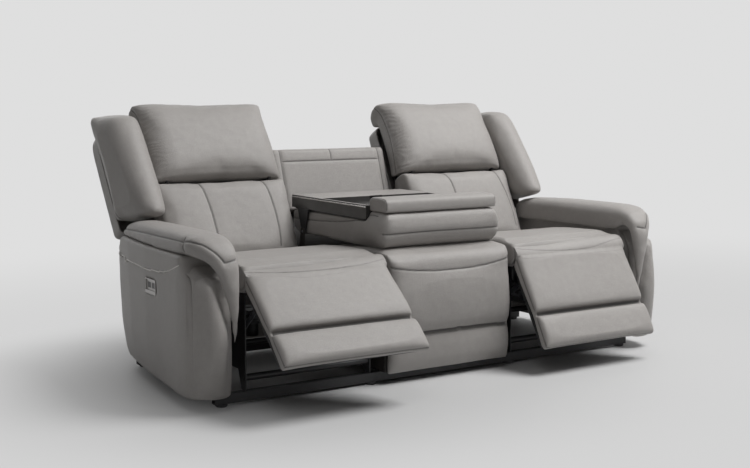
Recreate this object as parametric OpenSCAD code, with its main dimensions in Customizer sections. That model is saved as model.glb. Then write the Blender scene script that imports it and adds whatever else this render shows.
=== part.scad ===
// Power reclining sofa with three seats.
// Both end seats recline on link mechanisms and the back of the middle seat folds down as a table.
// Sizes are millimetres. X runs along the sofa, the sitters face -Y and Z is up.
// The sofa stands on z = 0 and is drawn as photographed: both leg rests part open, table down.

/* [Seats] */
// Width of each reclining end seat
seat_w = 593; // [540:1:680]
// Width of the middle seat box
middle_w = 586; // [520:1:680]
// Gap between the middle seat and each end seat
seat_gap = 11; // [9:1:20]
// Distance from the leg rest hinge back to the back hinge
seat_depth = 654; // [620:1:720]
// Place of the leg rest hinge, in front of the sofa's middle
leg_hinge_y = -449; // [-480:1:-430]
// Height of the leg rest hinge
leg_hinge_z = 454; // [440:1:480]
// Height of the back hinge
back_hinge_z = 400; // [392:1:415]
// Radius of the padded front edge of the seat, round the leg rest hinge
nose_r = 45; // [40:1:48]
// Height of the underside of the seat cushions
deck_z = 400; // [390:1:402]
// Thickness of the sprung seat deck
deck_t = 20; // [16:1:24]
// Width of one deck strap
strap_w = 40; // [30:1:50]
// Thickness of one deck strap
strap_t = 3; // [2:0.5:4]
// Rise of the cushion's crown over the front edge
seat_crown = 6; // [2:1:9]
// Height of the rear edge of the seat above its underside
seat_rear_h = 46; // [40:1:52]

/* [Leg rests] */
// Opening of the left leg rest from hanging straight down
leg_open_left = 49; // [0:1:90]
// Opening of the right leg rest from hanging straight down
leg_open_right = 31; // [0:1:90]
// Length of a leg rest below its hinge
leg_len = 424; // [380:1:426]
// Distance of the crease across the leg rest below its hinge
leg_crease = 277; // [240:1:300]
// Thickness of the leg rest pad
leg_pad_t = 37; // [30:1:38]
// Thickness of the leg rest board
leg_board_t = 15; // [12:1:18]
// Length of the cranks of the parallel linkage
crank_len = 112; // [100:1:116]
// Distance from the linkage's ground pivot forward to the leg rest hinge
link_run = 230; // [215:1:240]
// Distance from the linkage's ground pivot up to the leg rest hinge
link_rise = 190; // [180:1:200]
// Length of the crank lever that the actuator pushes
leg_lever = 50; // [44:1:54]

/* [Backs] */
// Lean of the reclining backs from upright, as photographed
back_lean = 28; // [17.5:0.5:55]
// Height of the lower back cushion up to the head pillow
lumbar_h = 365; // [340:1:375]
// Distance of the back cushion's face in front of the back hinge
back_face = 64; // [60:1:66]
// Height of the top of the head pillow along the back
pillow_top = 745; // [715:1:770]
// Depth from the back hinge to the rear of the back shell
shell_rear = 140; // [136:1:150]
// Wall of the back shell
shell_wall = 5; // [4:0.5:8]
// Height of the back shell along the back
shell_top = 650; // [630:1:655]
// Width of each side wing beyond the seat
wing_w = 166; // [150:1:176]
// Length of the lever that the back actuator pushes
back_lever = 60; // [54:1:64]
// Length of the lever that the head rest actuator pushes
head_lever = 120; // [112:1:124]

/* [Arms] */
// Width of an arm at the floor
arm_w = 163; // [140:1:200]
// Gap between an end seat and the arm
arm_gap = 40; // [36:1:60]
// Depth of the arm boxes behind the sofa's middle
arm_rear = 392; // [385:1:420]
// Place of the front of the arm boxes, behind their padded fronts
arm_front = -485; // [-495:1:-475]
// Height of the top of the arm boxes, under the pads
arm_box_top = 545; // [530:1:550]
// Thickness of the arm pads
arm_pad_t = 66; // [50:1:68]
// Overhang of the arm pads towards the seats
arm_pad_over = 32; // [20:1:36]

/* [Middle seat] */
// Lean of the fixed rear panel from upright
panel_lean = 18; // [14:0.5:20]
// Height of the fixed rear panel
panel_top = 864; // [820:1:900]
// Height of the table top with the table folded down
table_z = 670; // [655:1:680]
// Space between each side of the table tray and the side of the middle seat
tray_side_gap = 14; // [11:1:43]
// Height of the side of the table tray
tray_h = 52; // [46:1:56]
// Depth of the tray's recess
recess_d = 22; // [15:1:26]
// Radius of a cup well
cup_r = 42; // [36:1:46]
// Depth of a cup well below the recess
cup_d = 50; // [40:1:54]
// Place of the table hinge behind the sofa's middle
table_hinge_y = 184; // [178:1:190]
// Height of the table hinge
table_hinge_z = 524; // [518:1:528]
// Place of the front end of the folded table
table_front = -430; // [-445:1:-425]

/* [Base] */
// Height of the arm and box undersides above the floor
base_lift = 45; // [40:1:50]
// Height of the floor glides
glide_h = 10; // [8:1:14]
// Radius of a floor glide
glide_r = 22; // [16:1:26]
// Width of a floor rail
rail_w = 30; // [25:1:34]
// Thickness of the steel plates of the mechanism
plate_t = 4; // [3:0.5:4.5]
// Radius of the pivot pins
pin_r = 5; // [4:0.5:6]
// Radius of the cross tubes and torque tubes
tube_r = 12.5; // [10:0.5:14]
// Radius of the actuator rods
rod_r = 9; // [7:0.5:10]

/* [Controls] */
// Length of a control plate on the side of an arm
control_l = 100; // [90:1:120]
// Height of a control plate
control_h = 55; // [48:1:60]
// Depth that a control plate is let into the arm
control_d = 14; // [12:1:16]
// Length of a rocker key
key_l = 30; // [24:1:32]
// Height of a rocker key
key_h = 20; // [16:1:24]

/* [Fits] */
// Radial clearance of a pivot pin in its bore
run_fit = 0.05; // [0.02:0.01:0.1]
// Clearance between neighbouring padded pieces
soft_gap = 0.5; // [0.4:0.1:1.5]
// Clearance between neighbouring steel plates
plate_gap = 1; // [0.6:0.1:1.2]
// Clearance of an actuator's fork round its pin
fork_gap = 2; // [1.6:0.1:2.5]

/* [Hidden] */
$fn = 48;

leather = "DarkGray";
black_steel = [0.12, 0.12, 0.13];
dark_plastic = [0.22, 0.22, 0.23];
silver = "Silver";
timber = "BurlyWood";

// Half widths and seat places
hw = seat_w / 2;
middle_half = middle_w / 2;
seat_x = middle_half + seat_gap + hw;
arm_x = seat_x + hw + arm_gap;
outer_x = arm_x + arm_w;
leg_h = [leg_hinge_y, leg_hinge_z];
back_h = [leg_hinge_y + seat_depth, back_hinge_z];
table_h = [table_hinge_y, table_hinge_z];

// Recline limits, which the actuators are set out for
lean_min = 17.5;
lean_max = 55;
lean_mid = (lean_min + lean_max) / 2;
head_tilt_max = 30;

// Steel layers at each side of a seat, from the outside to the inside
plate_x = 258;
bracket_x = plate_x - plate_gap - plate_t;
link_x = bracket_x - plate_gap - plate_t;
crank_x = link_x - plate_gap - plate_t;
bore_r = pin_r + run_fit;
pin_out = 2;

// Parallel linkage of a leg rest, drawn closed: the ground pivot and the crank's end
board_back = 8;
board_front = board_back - leg_board_t;
board_top = 50;
board_len = leg_len - 24;
link_pivot_n = -22;
link_pivot_s = sqrt(crank_len * crank_len - link_pivot_n * link_pivot_n);
ground_p = [leg_h[0] + link_run, leg_h[1] - link_rise];
link_out = 10;

// Actuators: fork, rod and housing
fork_t = 4;
fork_in = 6;
fork_reach = 35;
lever_t = 6;
leg_rod_l = 180;
leg_mouth = 110;
leg_rate = 0.93;
leg_sweep_mid = 45;
leg_axis_z = ground_p[1] - leg_lever * 0.854;
back_rod_l = 130;
back_mouth = 72;
back_act_x = 120;
back_axis_z = back_h[1] - back_lever * 0.974;
tube_wall = 8;
motor_r = 26;
gear_h = 60;

// Cross tubes of each mechanism, as [y, z]
rear_tube = [back_h[0] - 30, leg_axis_z];
tie_tube = [ground_p[0] + 129, back_axis_z];
mid_tube = [ground_p[0] + 159, 135];
front_tube = [leg_h[0] + 37, 90];

// Floor rails, as the front edge of each
rail_front_y = leg_h[0] + 13;
rail_rear_y = 300;
rail_half = outer_x - 116;
plate_foot = 36;

// Head rest hinge, as [height along the back, distance in front of the back hinge]
head_s = lumbar_h + 2;
head_n = 40;
head_cut = 17;
head_ear_x = 232;
board_n = -42;
head_board_t = 14;
frame_n = -42;
frame_t = 16;
stile_in = 240;
stile_w = 35;
stile_top = 620;
rail_h = 30;
actuator_rail_z = 120;
shell_front = -62;
cushion_rear = -41.6;

// Middle seat and table
box_wall = 20;
front_board_y = leg_h[0] - 11;
table_gap = 8;
table_rear = 300;
tray_bottom = table_z - tray_h;
cap_split = table_front + 128;
frame_sheet = 5;
table_arm_x = middle_half - 9;
table_w = middle_w - 2 * tray_side_gap;
panel_pad_t = 45;
panel_pad_low = 592;
panel_y = 352;
panel_z = 524;

// Shift that puts the origin under the middle of the photographed sofa
leg_corner_r = 10;
front_reach = leg_h[0] - (leg_len - leg_corner_r) * sin(leg_open_left)
    - (nose_r - leg_corner_r) * cos(leg_open_left) - leg_corner_r;
rear_reach = back_h[0] + shell_top * sin(back_lean) + shell_rear * cos(back_lean);
shift_y = -(front_reach + rear_reach) / 2;

// Points of an arc round [y, z]
function arc(c, r, a0, a1, n) =
    [for (i = [0:n]) let (a = a0 + (a1 - a0) * i / n) [c[0] + r * cos(a), c[1] + r * sin(a)]];

// Stations along a cushion, as share of the half width and share of the full section
end_round = [
    [-1, 0.84], [-0.985, 0.92], [-0.94, 0.965], [-0.8, 0.99], [-0.4, 1],
    [0.4, 1], [0.8, 0.99], [0.94, 0.965], [0.985, 0.92], [1, 0.84]
];

// One section of a cushion: every point drawn towards its own centre by k
function section(x, pts, cs, k) =
    [for (i = [0:len(pts) - 1])
        [x, cs[i][0] + (pts[i][0] - cs[i][0]) * k, cs[i][1] + (pts[i][1] - cs[i][1]) * k]];

// A closed solid through a row of rings with equal numbers of points
module loft(rings) {
    n = len(rings[0]);
    m = len(rings);
    points = [for (r = rings) each r];
    sides = [for (j = [0:m - 2], i = [0:n - 1])
        each let (a = j * n + i, b = j * n + (i + 1) % n, c = b + n, d = a + n) [[a, c, b], [a, d, c]]];
    first_end = [for (i = [0:n - 1]) i];
    last_end = [for (i = [n - 1:-1:0]) (m - 1) * n + i];
    polyhedron(points, concat([first_end], sides, [last_end]));
}

// A cushion along X whose section draws in at both ends
module cushion(half, pts, cs) {
    loft([for (e = end_round) section(e[0] * half, pts, cs, e[1])]);
}

// The whole sofa's origin
module placed() {
    translate([0, shift_y, 0]) children();
}

// A seat's own frame, in the middle of its width, with +X outwards
module at_seat(side) {
    placed() mirror([side < 0 ? 1 : 0, 0, 0]) translate([seat_x, 0, 0]) children();
}

// A flat outline in Y and Z, pushed along X
module sheet(x, t) {
    translate([x, 0, 0]) rotate([90, 0, 90]) linear_extrude(t) children();
}

// The same outline at both sides of a seat
module both_sheets(x, t) {
    for (side = [0, 1]) mirror([side, 0, 0]) sheet(x, t) children();
}

// A round bar along X
module bar(p, r, x, l) {
    translate([x, p[0], p[1]]) rotate([0, 90, 0]) cylinder(r = r, h = l);
}

// A flat link between two points, with a round boss on each
module link_shape(a, b, ra, rb) {
    d = b - a;
    t = [-d[1], d[0]] / norm(d);
    translate(a) circle(ra);
    translate(b) circle(rb);
    polygon([a + t * ra, a - t * ra, b - t * rb, b + t * rb]);
}

// The leg rest's frame, drawn hanging straight down from its hinge
module leg_turn(open) {
    translate([0, leg_h[0], leg_h[1]]) rotate([-open, 0, 0]) children();
}

// The back's frame, drawn upright from its hinge with Z along the back
module back_turn() {
    translate([0, back_h[0], back_h[1]]) rotate([-back_lean, 0, 0]) children();
}

// Slots that let the steel pivot lobes into the padding
module leg_slots() {
    slot_w = 2 * plate_t + 3 * plate_gap + 2 * pin_out + 4;
    slot_top = leg_h[1] + 18;
    slot_rear = leg_h[0] + 71;
    slot_front = leg_h[0] - nose_r - 10;
    for (side = [-1, 1])
        translate([side * (plate_x - plate_gap / 2) - slot_w / 2, slot_front, deck_z - 10])
            cube([slot_w, slot_rear - slot_front, slot_top - deck_z + 10]);
}

// The two square steel floor rails
module floor_rails() {
    color(black_steel) placed() {
        for (y = [rail_front_y, rail_rear_y])
            difference() {
                translate([-rail_half, y, glide_h])
                    cube([2 * rail_half, rail_w, base_lift - glide_h - soft_gap]);
                translate([-outer_x, y + 3, glide_h + 3])
                    cube([2 * outer_x, rail_w - 6, base_lift - glide_h - soft_gap - 6]);
            }
    }
}

// Round plastic glides under the rails
module floor_glides() {
    glide_x = [-rail_half + 30, -middle_half - 40, middle_half + 40, rail_half - 30];
    color(dark_plastic) placed()
        for (x = glide_x, y = [rail_front_y, rail_rear_y])
            translate([x, y + rail_w / 2, 0]) {
                cylinder(r1 = glide_r - 3, r2 = glide_r, h = 3);
                translate([0, 0, 3]) cylinder(r = glide_r, h = glide_h - 3 - 0.02);
            }
}

// Outline of one mechanism side plate, with its hinge lobes and floor feet
module plate_outline() {
    top = deck_z - deck_t;
    front = leg_h[0] + 19;
    rear = rail_rear_y + rail_w;
    foot = base_lift - soft_gap;
    lobe = 16;
    difference() {
        union() {
            polygon([
                [front, top], [front, foot], [front + plate_foot, foot],
                [front + plate_foot + 24, 115], [rail_rear_y - 28, 115], [rail_rear_y, foot],
                [rear, foot], [rear, 120], [rear - 70, 200], [rear - 70, 262], [back_h[0] + 20, back_h[1] - 55],
                [back_h[0] + 19, back_h[1]], [back_h[0] - 19, back_h[1]], [back_h[0] - 40, top]
            ]);
            translate(back_h) circle(20);
            translate(leg_h) circle(lobe);
            polygon([
                leg_h + [-lobe + 1, -6], [front, leg_h[1] - 48], [front, top - 5],
                [leg_h[0] + 66, top - 5], leg_h + [6, lobe - 1]
            ]);
        }
        for (p = [leg_h, back_h]) translate(p) circle(bore_r);
        translate(ground_p) circle(tube_r + run_fit);
        for (p = [rear_tube, tie_tube, mid_tube, front_tube]) translate(p) circle(tube_r + run_fit);
        translate([-95, 200]) circle(38);
        translate([60, 200]) circle(38);
        translate([-330, 300]) circle(28);
    }
}

// Steel side plates of both recliner mechanisms
module mechanism_plates() {
    color(black_steel) for (side = [-1, 1]) at_seat(side) both_sheets(plate_x, plate_t) plate_outline();
}

// Fixed tubes that tie each pair of side plates together
module cross_tubes() {
    reach = plate_x + plate_t + 3;
    color(black_steel) for (side = [-1, 1]) at_seat(side)
        for (p = [rear_tube, tie_tube, mid_tube, front_tube]) bar(p, tube_r, -reach, 2 * reach);
}

// Hinge pins of the leg rests, the backs and the table
module pivot_pins() {
    pin_l = 2 * plate_t + plate_gap + 2 * pin_out;
    color(silver) {
        for (side = [-1, 1]) at_seat(side)
            for (end = [-1, 1], p = [leg_h, back_h])
                bar(p, pin_r, end * (plate_x - plate_gap / 2) - pin_l / 2, pin_l);
        placed() for (end = [-1, 1])
            bar(table_h, pin_r, end * (table_arm_x + plate_t + plate_gap / 2) - pin_l / 2, pin_l);
    }
}

// One sprung deck: a steel frame with straps both ways
module deck(half, y0, y1) {
    rim = 30;
    z0 = deck_z - deck_t;
    strap_z = deck_z - soft_gap - strap_t;
    difference() {
        translate([-half, y0, z0]) cube([2 * half, y1 - y0, deck_t - soft_gap]);
        translate([-half + rim, y0 + rim, z0 - 1]) cube([2 * (half - rim), y1 - y0 - 2 * rim, deck_t + 2]);
    }
    for (i = [-2:2])
        translate([i * half / 3 - strap_w / 2, y0 + rim - 1, strap_z])
            cube([strap_w, y1 - y0 - 2 * rim + 2, strap_t]);
    for (i = [1:4])
        translate([-half + rim - 1, y0 + (y1 - y0) * i / 5 - strap_w / 2, strap_z])
            cube([2 * (half - rim) + 2, strap_w, strap_t]);
}

// Sprung decks under the three seats
module seat_decks() {
    color(black_steel) {
        for (side = [-1, 1]) at_seat(side) deck(plate_x + plate_t, leg_h[0] + 71, back_h[0] - 78);
        placed() deck(middle_half - 3, leg_h[0] + 9, table_h[0] - 70);
    }
}

// Section of a seat cushion, anticlockwise in Y and Z
seat_rear_y = back_h[0] - 69;
function seat_points(rear) = concat(
    [[leg_h[0] + 49, deck_z], [rear, deck_z], [rear, deck_z + seat_rear_h - 18],
     [rear - 8, deck_z + seat_rear_h], [rear - 36, deck_z + seat_rear_h + 12],
     [rear - 130, leg_h[1] + nose_r - 22], [rear - 300, leg_h[1] + nose_r - 1],
     [leg_h[0] + 80, leg_h[1] + nose_r + seat_crown], [leg_h[0] + 30, leg_h[1] + nose_r + 2]],
    arc(leg_h, nose_r, 90, 270, 10),
    [[leg_h[0] + 22, deck_z + 5]]);
function seat_centres(pts) =
    [for (p = pts) p[0] < leg_h[0] + 1 ? leg_h : [p[0], deck_z]];

// Padding of an end seat with its round front edge
module end_seat_cushion(side) {
    pts = seat_points(seat_rear_y);
    color(leather) at_seat(side) difference() {
        cushion(hw, pts, seat_centres(pts));
        leg_slots();
    }
}
module left_seat_cushion() { end_seat_cushion(-1); }
module right_seat_cushion() { end_seat_cushion(1); }

// Padding of the middle seat, cut back at the rear for the swinging table
module middle_seat_cushion() {
    pts = seat_points(table_h[0] - 68);
    color(leather) placed() cushion(middle_half - 4, pts, seat_centres(pts));
}

// Timber box that carries the middle seat
module middle_seat_box() {
    y0 = front_board_y;
    y1 = rail_rear_y + rail_w;
    h = deck_z - deck_t - base_lift;
    ear_r = 18;
    color(timber) placed() difference() {
        translate([-middle_half, y0, base_lift]) cube([middle_w, y1 - y0, h]);
        translate([-middle_half + box_wall, y0 + box_wall, base_lift - 1])
            cube([middle_w - 2 * box_wall, y1 - y0 - 2 * box_wall, h + 2]);
        translate([-middle_half - 1, table_h[0] + 45, deck_z - deck_t - 25])
            cube([middle_w + 2, y1 - box_wall - table_h[0] - 45, 26]);
    }
}

// Front upholstery of the middle seat: a full upper roll and a lower panel
module middle_front_pad() {
    y1 = front_board_y - soft_gap;
    z0 = 31;
    z1 = leg_h[1] - nose_r - 6;
    crease = 182;
    deep = 42;
    pts = [
        [y1, z0], [y1, z1], [y1 - 14, z1], [y1 - 30, z1 - 14], [y1 - deep, z1 - 60],
        [y1 - deep - 4, z1 - 120], [y1 - deep + 6, crease + 26], [y1 - 18, crease],
        [y1 - 26, crease - 14], [y1 - 30, crease - 60], [y1 - 26, z0 + 30], [y1 - 14, z0]
    ];
    color(leather) placed() cushion(middle_half - 1, pts, [for (p = pts) [y1, p[1]]]);
}

// Point on the fixed panel's face line, moved back by n
function panel_pt(z, n) =
    [panel_y + (z - panel_z) * tan(panel_lean) + n * cos(panel_lean), z - n * sin(panel_lean)];

// Timber back of the middle seat, with the steel ears of the table hinge
module middle_back_frame() {
    n0 = panel_pad_t + soft_gap;
    board = 18;
    ear_r = 16;
    ear_z = deck_z - deck_t + soft_gap;
    color(timber) placed() {
        sheet(-middle_half + 4, middle_w - 8)
            polygon([
                [rail_rear_y + rail_w - 8, ear_z], [rail_rear_y + rail_w + 14, ear_z],
                panel_pt(panel_pad_low - 60, n0 + board), panel_pt(panel_top - 6, n0 + board),
                panel_pt(panel_top, n0), panel_pt(panel_pad_low - 60, n0)
            ]);
    }
    color(black_steel) placed() for (side = [0, 1]) mirror([side, 0, 0])
        sheet(table_arm_x + plate_t + plate_gap, plate_t) difference() {
            union() {
                translate(table_h) circle(ear_r);
                polygon([
                    table_h + [-ear_r + 1, -4], [table_h[0] - 30, ear_z],
                    [table_h[0] + 40, ear_z], table_h + [ear_r - 1, -4]
                ]);
            }
            translate(table_h) circle(bore_r);
        }
}

// Padded face of the fixed rear panel
module middle_back_pad() {
    face = panel_pad_t;
    pts = [
        panel_pt(panel_pad_low, 4), panel_pt(panel_pad_low - 4, face), panel_pt(panel_top, face),
        panel_pt(panel_top + 3, face - 12), panel_pt(panel_top, 12), panel_pt(panel_top - 12, 2),
        panel_pt(panel_top - 60, 0), panel_pt(panel_pad_low + 60, 0)
    ];
    color(leather) placed() cushion(middle_half - 3, pts, [for (p = pts) panel_pt(p[1], face)]);
}

// Upholstered board that closes the rear of the base
rear_panel_t = 20;
module rear_panel() {
    top = 270;
    color(leather) placed()
        translate([-arm_x + soft_gap, arm_rear - rear_panel_t, base_lift])
            cube([2 * (arm_x - soft_gap), rear_panel_t, top - base_lift]);
}

// Transformer on the inside of the rear panel, with a round inlet facing the floor
module power_box() {
    l = 180;
    h = 60;
    d = 36;
    inlet_r = 9;
    rear = arm_rear - rear_panel_t - soft_gap;
    color(dark_plastic) placed() difference() {
        union() {
            translate([-l / 2, rear - d, 90]) cube([l, d, h]);
            translate([0, rear - d / 2, 78]) cylinder(r = inlet_r + 4.5, h = 13);
        }
        translate([0, rear - d / 2, 77]) cylinder(r = inlet_r, h = 17);
    }
}

// Plan outline of the right arm, drawn in towards the rear and rounded at the front.
// The tuck draws the side in near the floor, most of all at the rear.
function arm_plan(tuck) = [
    [arm_x, arm_front], [outer_x - 31, arm_front], [outer_x - 15, arm_front + 20],
    [outer_x - 5, arm_front + 52], [outer_x - 0.1 * tuck, arm_front + 100],
    [outer_x - 4 - 0.5 * tuck, -220], [outer_x - 8 - 0.8 * tuck, -60],
    [outer_x - 26 - tuck, 150], [outer_x - 54 - tuck, 320],
    [outer_x - 66 - tuck, arm_rear - 28], [outer_x - 84 - tuck, arm_rear], [arm_x, arm_rear]
];
arm_tuck = [[0, 34], [45, 22], [155, 6], [315, 0], [500, 0]];

// Curve of the seam between an arm's side and its front, as [y, z] from the floor up
arm_seam = [
    [arm_front, base_lift], [arm_front, 200], [arm_front + 2, 280], [arm_front + 7, 341],
    [arm_front + 14, 400], [arm_front + 26, 452], [arm_front + 48, 486], [arm_front + 77, 514]
];

// Side outline of the arm box, as [y, z]
function arm_side() = concat(
    [for (i = [len(arm_seam) - 1:-1:0]) arm_seam[i]],
    [[arm_rear, base_lift], [arm_rear, 470], [arm_rear - 22, 492], [arm_rear - 80, arm_box_top - 12],
     [arm_rear - 110, arm_box_top], [arm_front + 85, arm_box_top]]);

// Timber and board box of the right arm, with the pocket for the control plate
module arm_box() {
    color(leather) difference() {
        intersection() {
            loft([for (e = arm_tuck) [for (p = arm_plan(e[1])) [p[0], p[1], base_lift + e[0] * arm_box_h / 500]]]);
            sheet(arm_x - 1, arm_w + 2) polygon(arm_side());
        }
        translate([outer_x - 8 - control_d, control_y - control_l / 2 - 0.5, control_z - control_h / 2 - 0.5])
            cube([control_d + 20, control_l + 1, control_h + 1]);
    }
}
arm_box_h = arm_box_top - base_lift;
control_y = -125;
control_z = 401;
module left_arm_box() { placed() mirror([1, 0, 0]) arm_box(); }
module right_arm_box() { placed() arm_box(); }

// Full padded front of the right arm, bulging outside the fall of the arm pad
module arm_front_pad() {
    swell = [31, 62, 69, 70, 66, 58, 42, 22];
    // edge of the pad's fall at each height, and the front's plan at each station
    fall_edge = [24, 32, 44, 52, 64, 78, 94, 116];
    xs = [2, 14, 30, 46, 60, 74, 90, 106, 120, 132, 148, 156];
    round_y = concat([for (i = [1:10]) arm_front - 100], [arm_front + 20, arm_front + 46]);
    full = [0.3, 0.8, 1, 1, 1, 1, 0.98, 0.86, 0.64, 0.38, 0.2, 0.1];
    top = len(arm_seam) - 1;
    rings = [for (i = [0:len(xs) - 1])
        let (
            back = [for (j = [0:top]) max(arm_seam[j][0], round_y[i]) - soft_gap - (j == top ? 3 : 0) - (xs[i] > 125 ? 4 : 0)],
            lift = [for (j = [0:top]) xs[i] < fall_edge[j] ? min(0.36, full[i]) : full[i]]
        )
        concat(
            [for (j = [top:-1:0]) [arm_x + xs[i], back[j] - max(3, swell[j] * lift[j]), arm_seam[j][1] - (j == top ? 3 : 0)]],
            [for (j = [0:top]) [arm_x + xs[i], back[j], arm_seam[j][1] - (j == top ? 2 : 0)]])];
    color(leather) loft(rings);
}
module left_arm_front() { placed() mirror([1, 0, 0]) arm_front_pad(); }
module right_arm_front() { placed() arm_front_pad(); }

// Soft pad over the right arm, falling down the inner side of its front
module arm_pad() {
    in_x = arm_x - arm_pad_over;
    out_x = outer_x - 4;
    z0 = arm_box_top + soft_gap;
    t = arm_pad_t;
    // each station: y and z of the top, lean of the section, thickness, inner x, outer x
    run = [
        [arm_rear - 106, z0 + 0.35 * t, 0, 0.35 * t, in_x + 40, out_x - 60],
        [arm_rear - 116, z0 + 0.6 * t, 0, 0.6 * t, in_x + 16, out_x - 44],
        [arm_rear - 150, z0 + 0.78 * t, 0, 0.78 * t, in_x + 4, out_x - 36],
        [150, z0 + 0.9 * t, 0, 0.9 * t, in_x, out_x - 26],
        [-40, z0 + t, 0, t, in_x, out_x - 6],
        [-280, z0 + t + 2, 0, t + 2, in_x, out_x],
        [-370, z0 + t + 2, 4, t + 2, in_x, out_x],
        [-440, z0 + t - 4, 18, 0.96 * t, in_x + 2, out_x - 4],
        [-494, z0 + t - 26, 38, 0.86 * t, in_x + 5, out_x - 22],
        [-530, z0 + t - 62, 62, 0.68 * t, in_x + 10, out_x - 52],
        [-546, z0 + t - 112, 80, 0.54 * t, in_x + 15, out_x - 80],
        [-550, z0 + t - 180, 88, 0.44 * t, in_x + 19, out_x - 100],
        [-547, z0 + t - 260, 92, 0.38 * t, in_x + 24, out_x - 122],
        [-538, z0 + t - 330, 94, 0.26 * t, in_x + 30, out_x - 136],
        [-524, z0 + t - 380, 96, 0.14 * t, in_x + 36, out_x - 146]
    ];
    shape = [
        [0, 0], [0.05, 0.5], [0.14, 0.85], [0.32, 1], [0.68, 1], [0.86, 0.86], [0.96, 0.5], [1, 0]
    ];
    rings = [for (r = run) [for (p = shape)
        [r[4] + (r[5] - r[4]) * p[0], r[0] + (1 - p[1]) * r[3] * sin(r[2]), r[1] - (1 - p[1]) * r[3] * cos(r[2])]]];
    color(leather) loft(rings);
}
module left_arm_pad() { placed() mirror([1, 0, 0]) arm_pad(); }
module right_arm_pad() { placed() arm_pad(); }

// Control plate on the outer side of an arm: a bright frame round a recessed key field
key_gap = 0.6;
key_y = [-20, 18];
key_pin_r = 1.5;
key_pin_l = 2.4;
key_pin_in = 2.5;
module control_plate() {
    x1 = outer_x - 8;
    lip = 4;
    field = 5;
    color(silver) translate([x1 - control_d + 0.5, control_y, control_z]) difference() {
        translate([0, -control_l / 2, -control_h / 2]) cube([control_d + 2, control_l, control_h]);
        translate([control_d + 2 - field, -control_l / 2 + lip, -control_h / 2 + 3 * lip])
            cube([field + 1, control_l - 2 * lip, control_h - 4 * lip]);
        for (y = key_y)
            translate([3, y - key_l / 2 - key_gap, key_lift - key_h / 2 - key_gap])
                cube([control_d, key_l + 2 * key_gap, key_h + 2 * key_gap]);
        translate([3, -42, key_lift]) rotate([0, 90, 0]) cylinder(r = 3, h = control_d);
        for (y = key_y)
            translate([3 + key_gap + key_pin_in, y, key_lift - key_h / 2 - key_gap - key_pin_l - 0.3])
                cylinder(r = key_pin_r + run_fit, h = key_h + 2 * (key_gap + key_pin_l + 0.3));
    }
}
key_lift = 4;
module left_control_plate() { placed() mirror([1, 0, 0]) control_plate(); }
module right_control_plate() { placed() control_plate(); }

// A rocker key with its pivot pin, which turns in the plate about an upright line
module rocker_key(y) {
    x0 = outer_x - 8 - control_d + 0.5;
    depth = 8;
    color(dark_plastic) translate([x0 + 3 + key_gap, control_y + y, control_z + key_lift - key_h / 2]) {
        linear_extrude(key_h) polygon([
            [0, -4], [0, 4], [depth - 3, key_l / 2 - 1.2], [depth - 0.8, key_l / 2 - 0.4],
            [depth - 1.6, 0], [depth - 0.8, -key_l / 2 + 0.4], [depth - 3, -key_l / 2 + 1.2]
        ]);
        translate([key_pin_in, 0, -key_gap - key_pin_l])
            cylinder(r = key_pin_r, h = key_h + 2 * (key_gap + key_pin_l));
    }
}
module left_recline_key() { placed() mirror([1, 0, 0]) rocker_key(key_y[0]); }
module left_headrest_key() { placed() mirror([1, 0, 0]) rocker_key(key_y[1]); }
module right_recline_key() { placed() rocker_key(key_y[0]); }
module right_headrest_key() { placed() rocker_key(key_y[1]); }

// Board of a leg rest with the two steel brackets that hang it on its hinge
module legrest_frame(side, open) {
    q = [-link_pivot_n, -link_pivot_s];
    color(black_steel) at_seat(side) leg_turn(open) {
        translate([-hw + 12, board_front, -board_len])
            cube([2 * hw - 24, leg_board_t, board_len - board_top]);
        both_sheets(bracket_x, plate_t) difference() {
            union() {
                circle(14);
                polygon([[-13, -4], [12, -6], [34, -84], [34, -190], [board_back - 0.5, -216], [board_back - 0.5, -58], [-10, -42]]);
            }
            circle(bore_r);
        }
        for (end = [0, 1]) mirror([end, 0, 0])
            bar(q, pin_r, link_x - pin_out, 2 * plate_t + plate_gap + pin_out);
    }
}
module left_legrest_frame() { legrest_frame(-1, leg_open_left); }
module right_legrest_frame() { legrest_frame(1, leg_open_right); }

// Padding of a leg rest: a long and a short roll with a crease between
module legrest_pad(side, open) {
    face = -nose_r;
    back = board_front - soft_gap;
    r = leg_corner_r;
    start = acos(-back / (nose_r + soft_gap));
    pts = concat(
        [[back, -leg_len]],
        [for (i = [0:5]) let (a = 180 + start - (start - 4) * i / 5 ) (nose_r + soft_gap) * [cos(a), sin(a)]],
        [[face - 4, -90], [face - 5, -leg_crease + 90], [face - 1, -leg_crease + 14],
         [face + 12, -leg_crease], [face - 1, -leg_crease - 14], [face - 5, -(leg_crease + leg_len) / 2]],
        arc([face + r, -leg_len + r], r, 180, 270, 4));
    color(leather) at_seat(side) leg_turn(open)
        cushion(hw, pts, [for (p = pts) [back, p[1]]]);
}
module left_legrest_pad() { legrest_pad(-1, leg_open_left); }
module right_legrest_pad() { legrest_pad(1, leg_open_right); }

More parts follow.
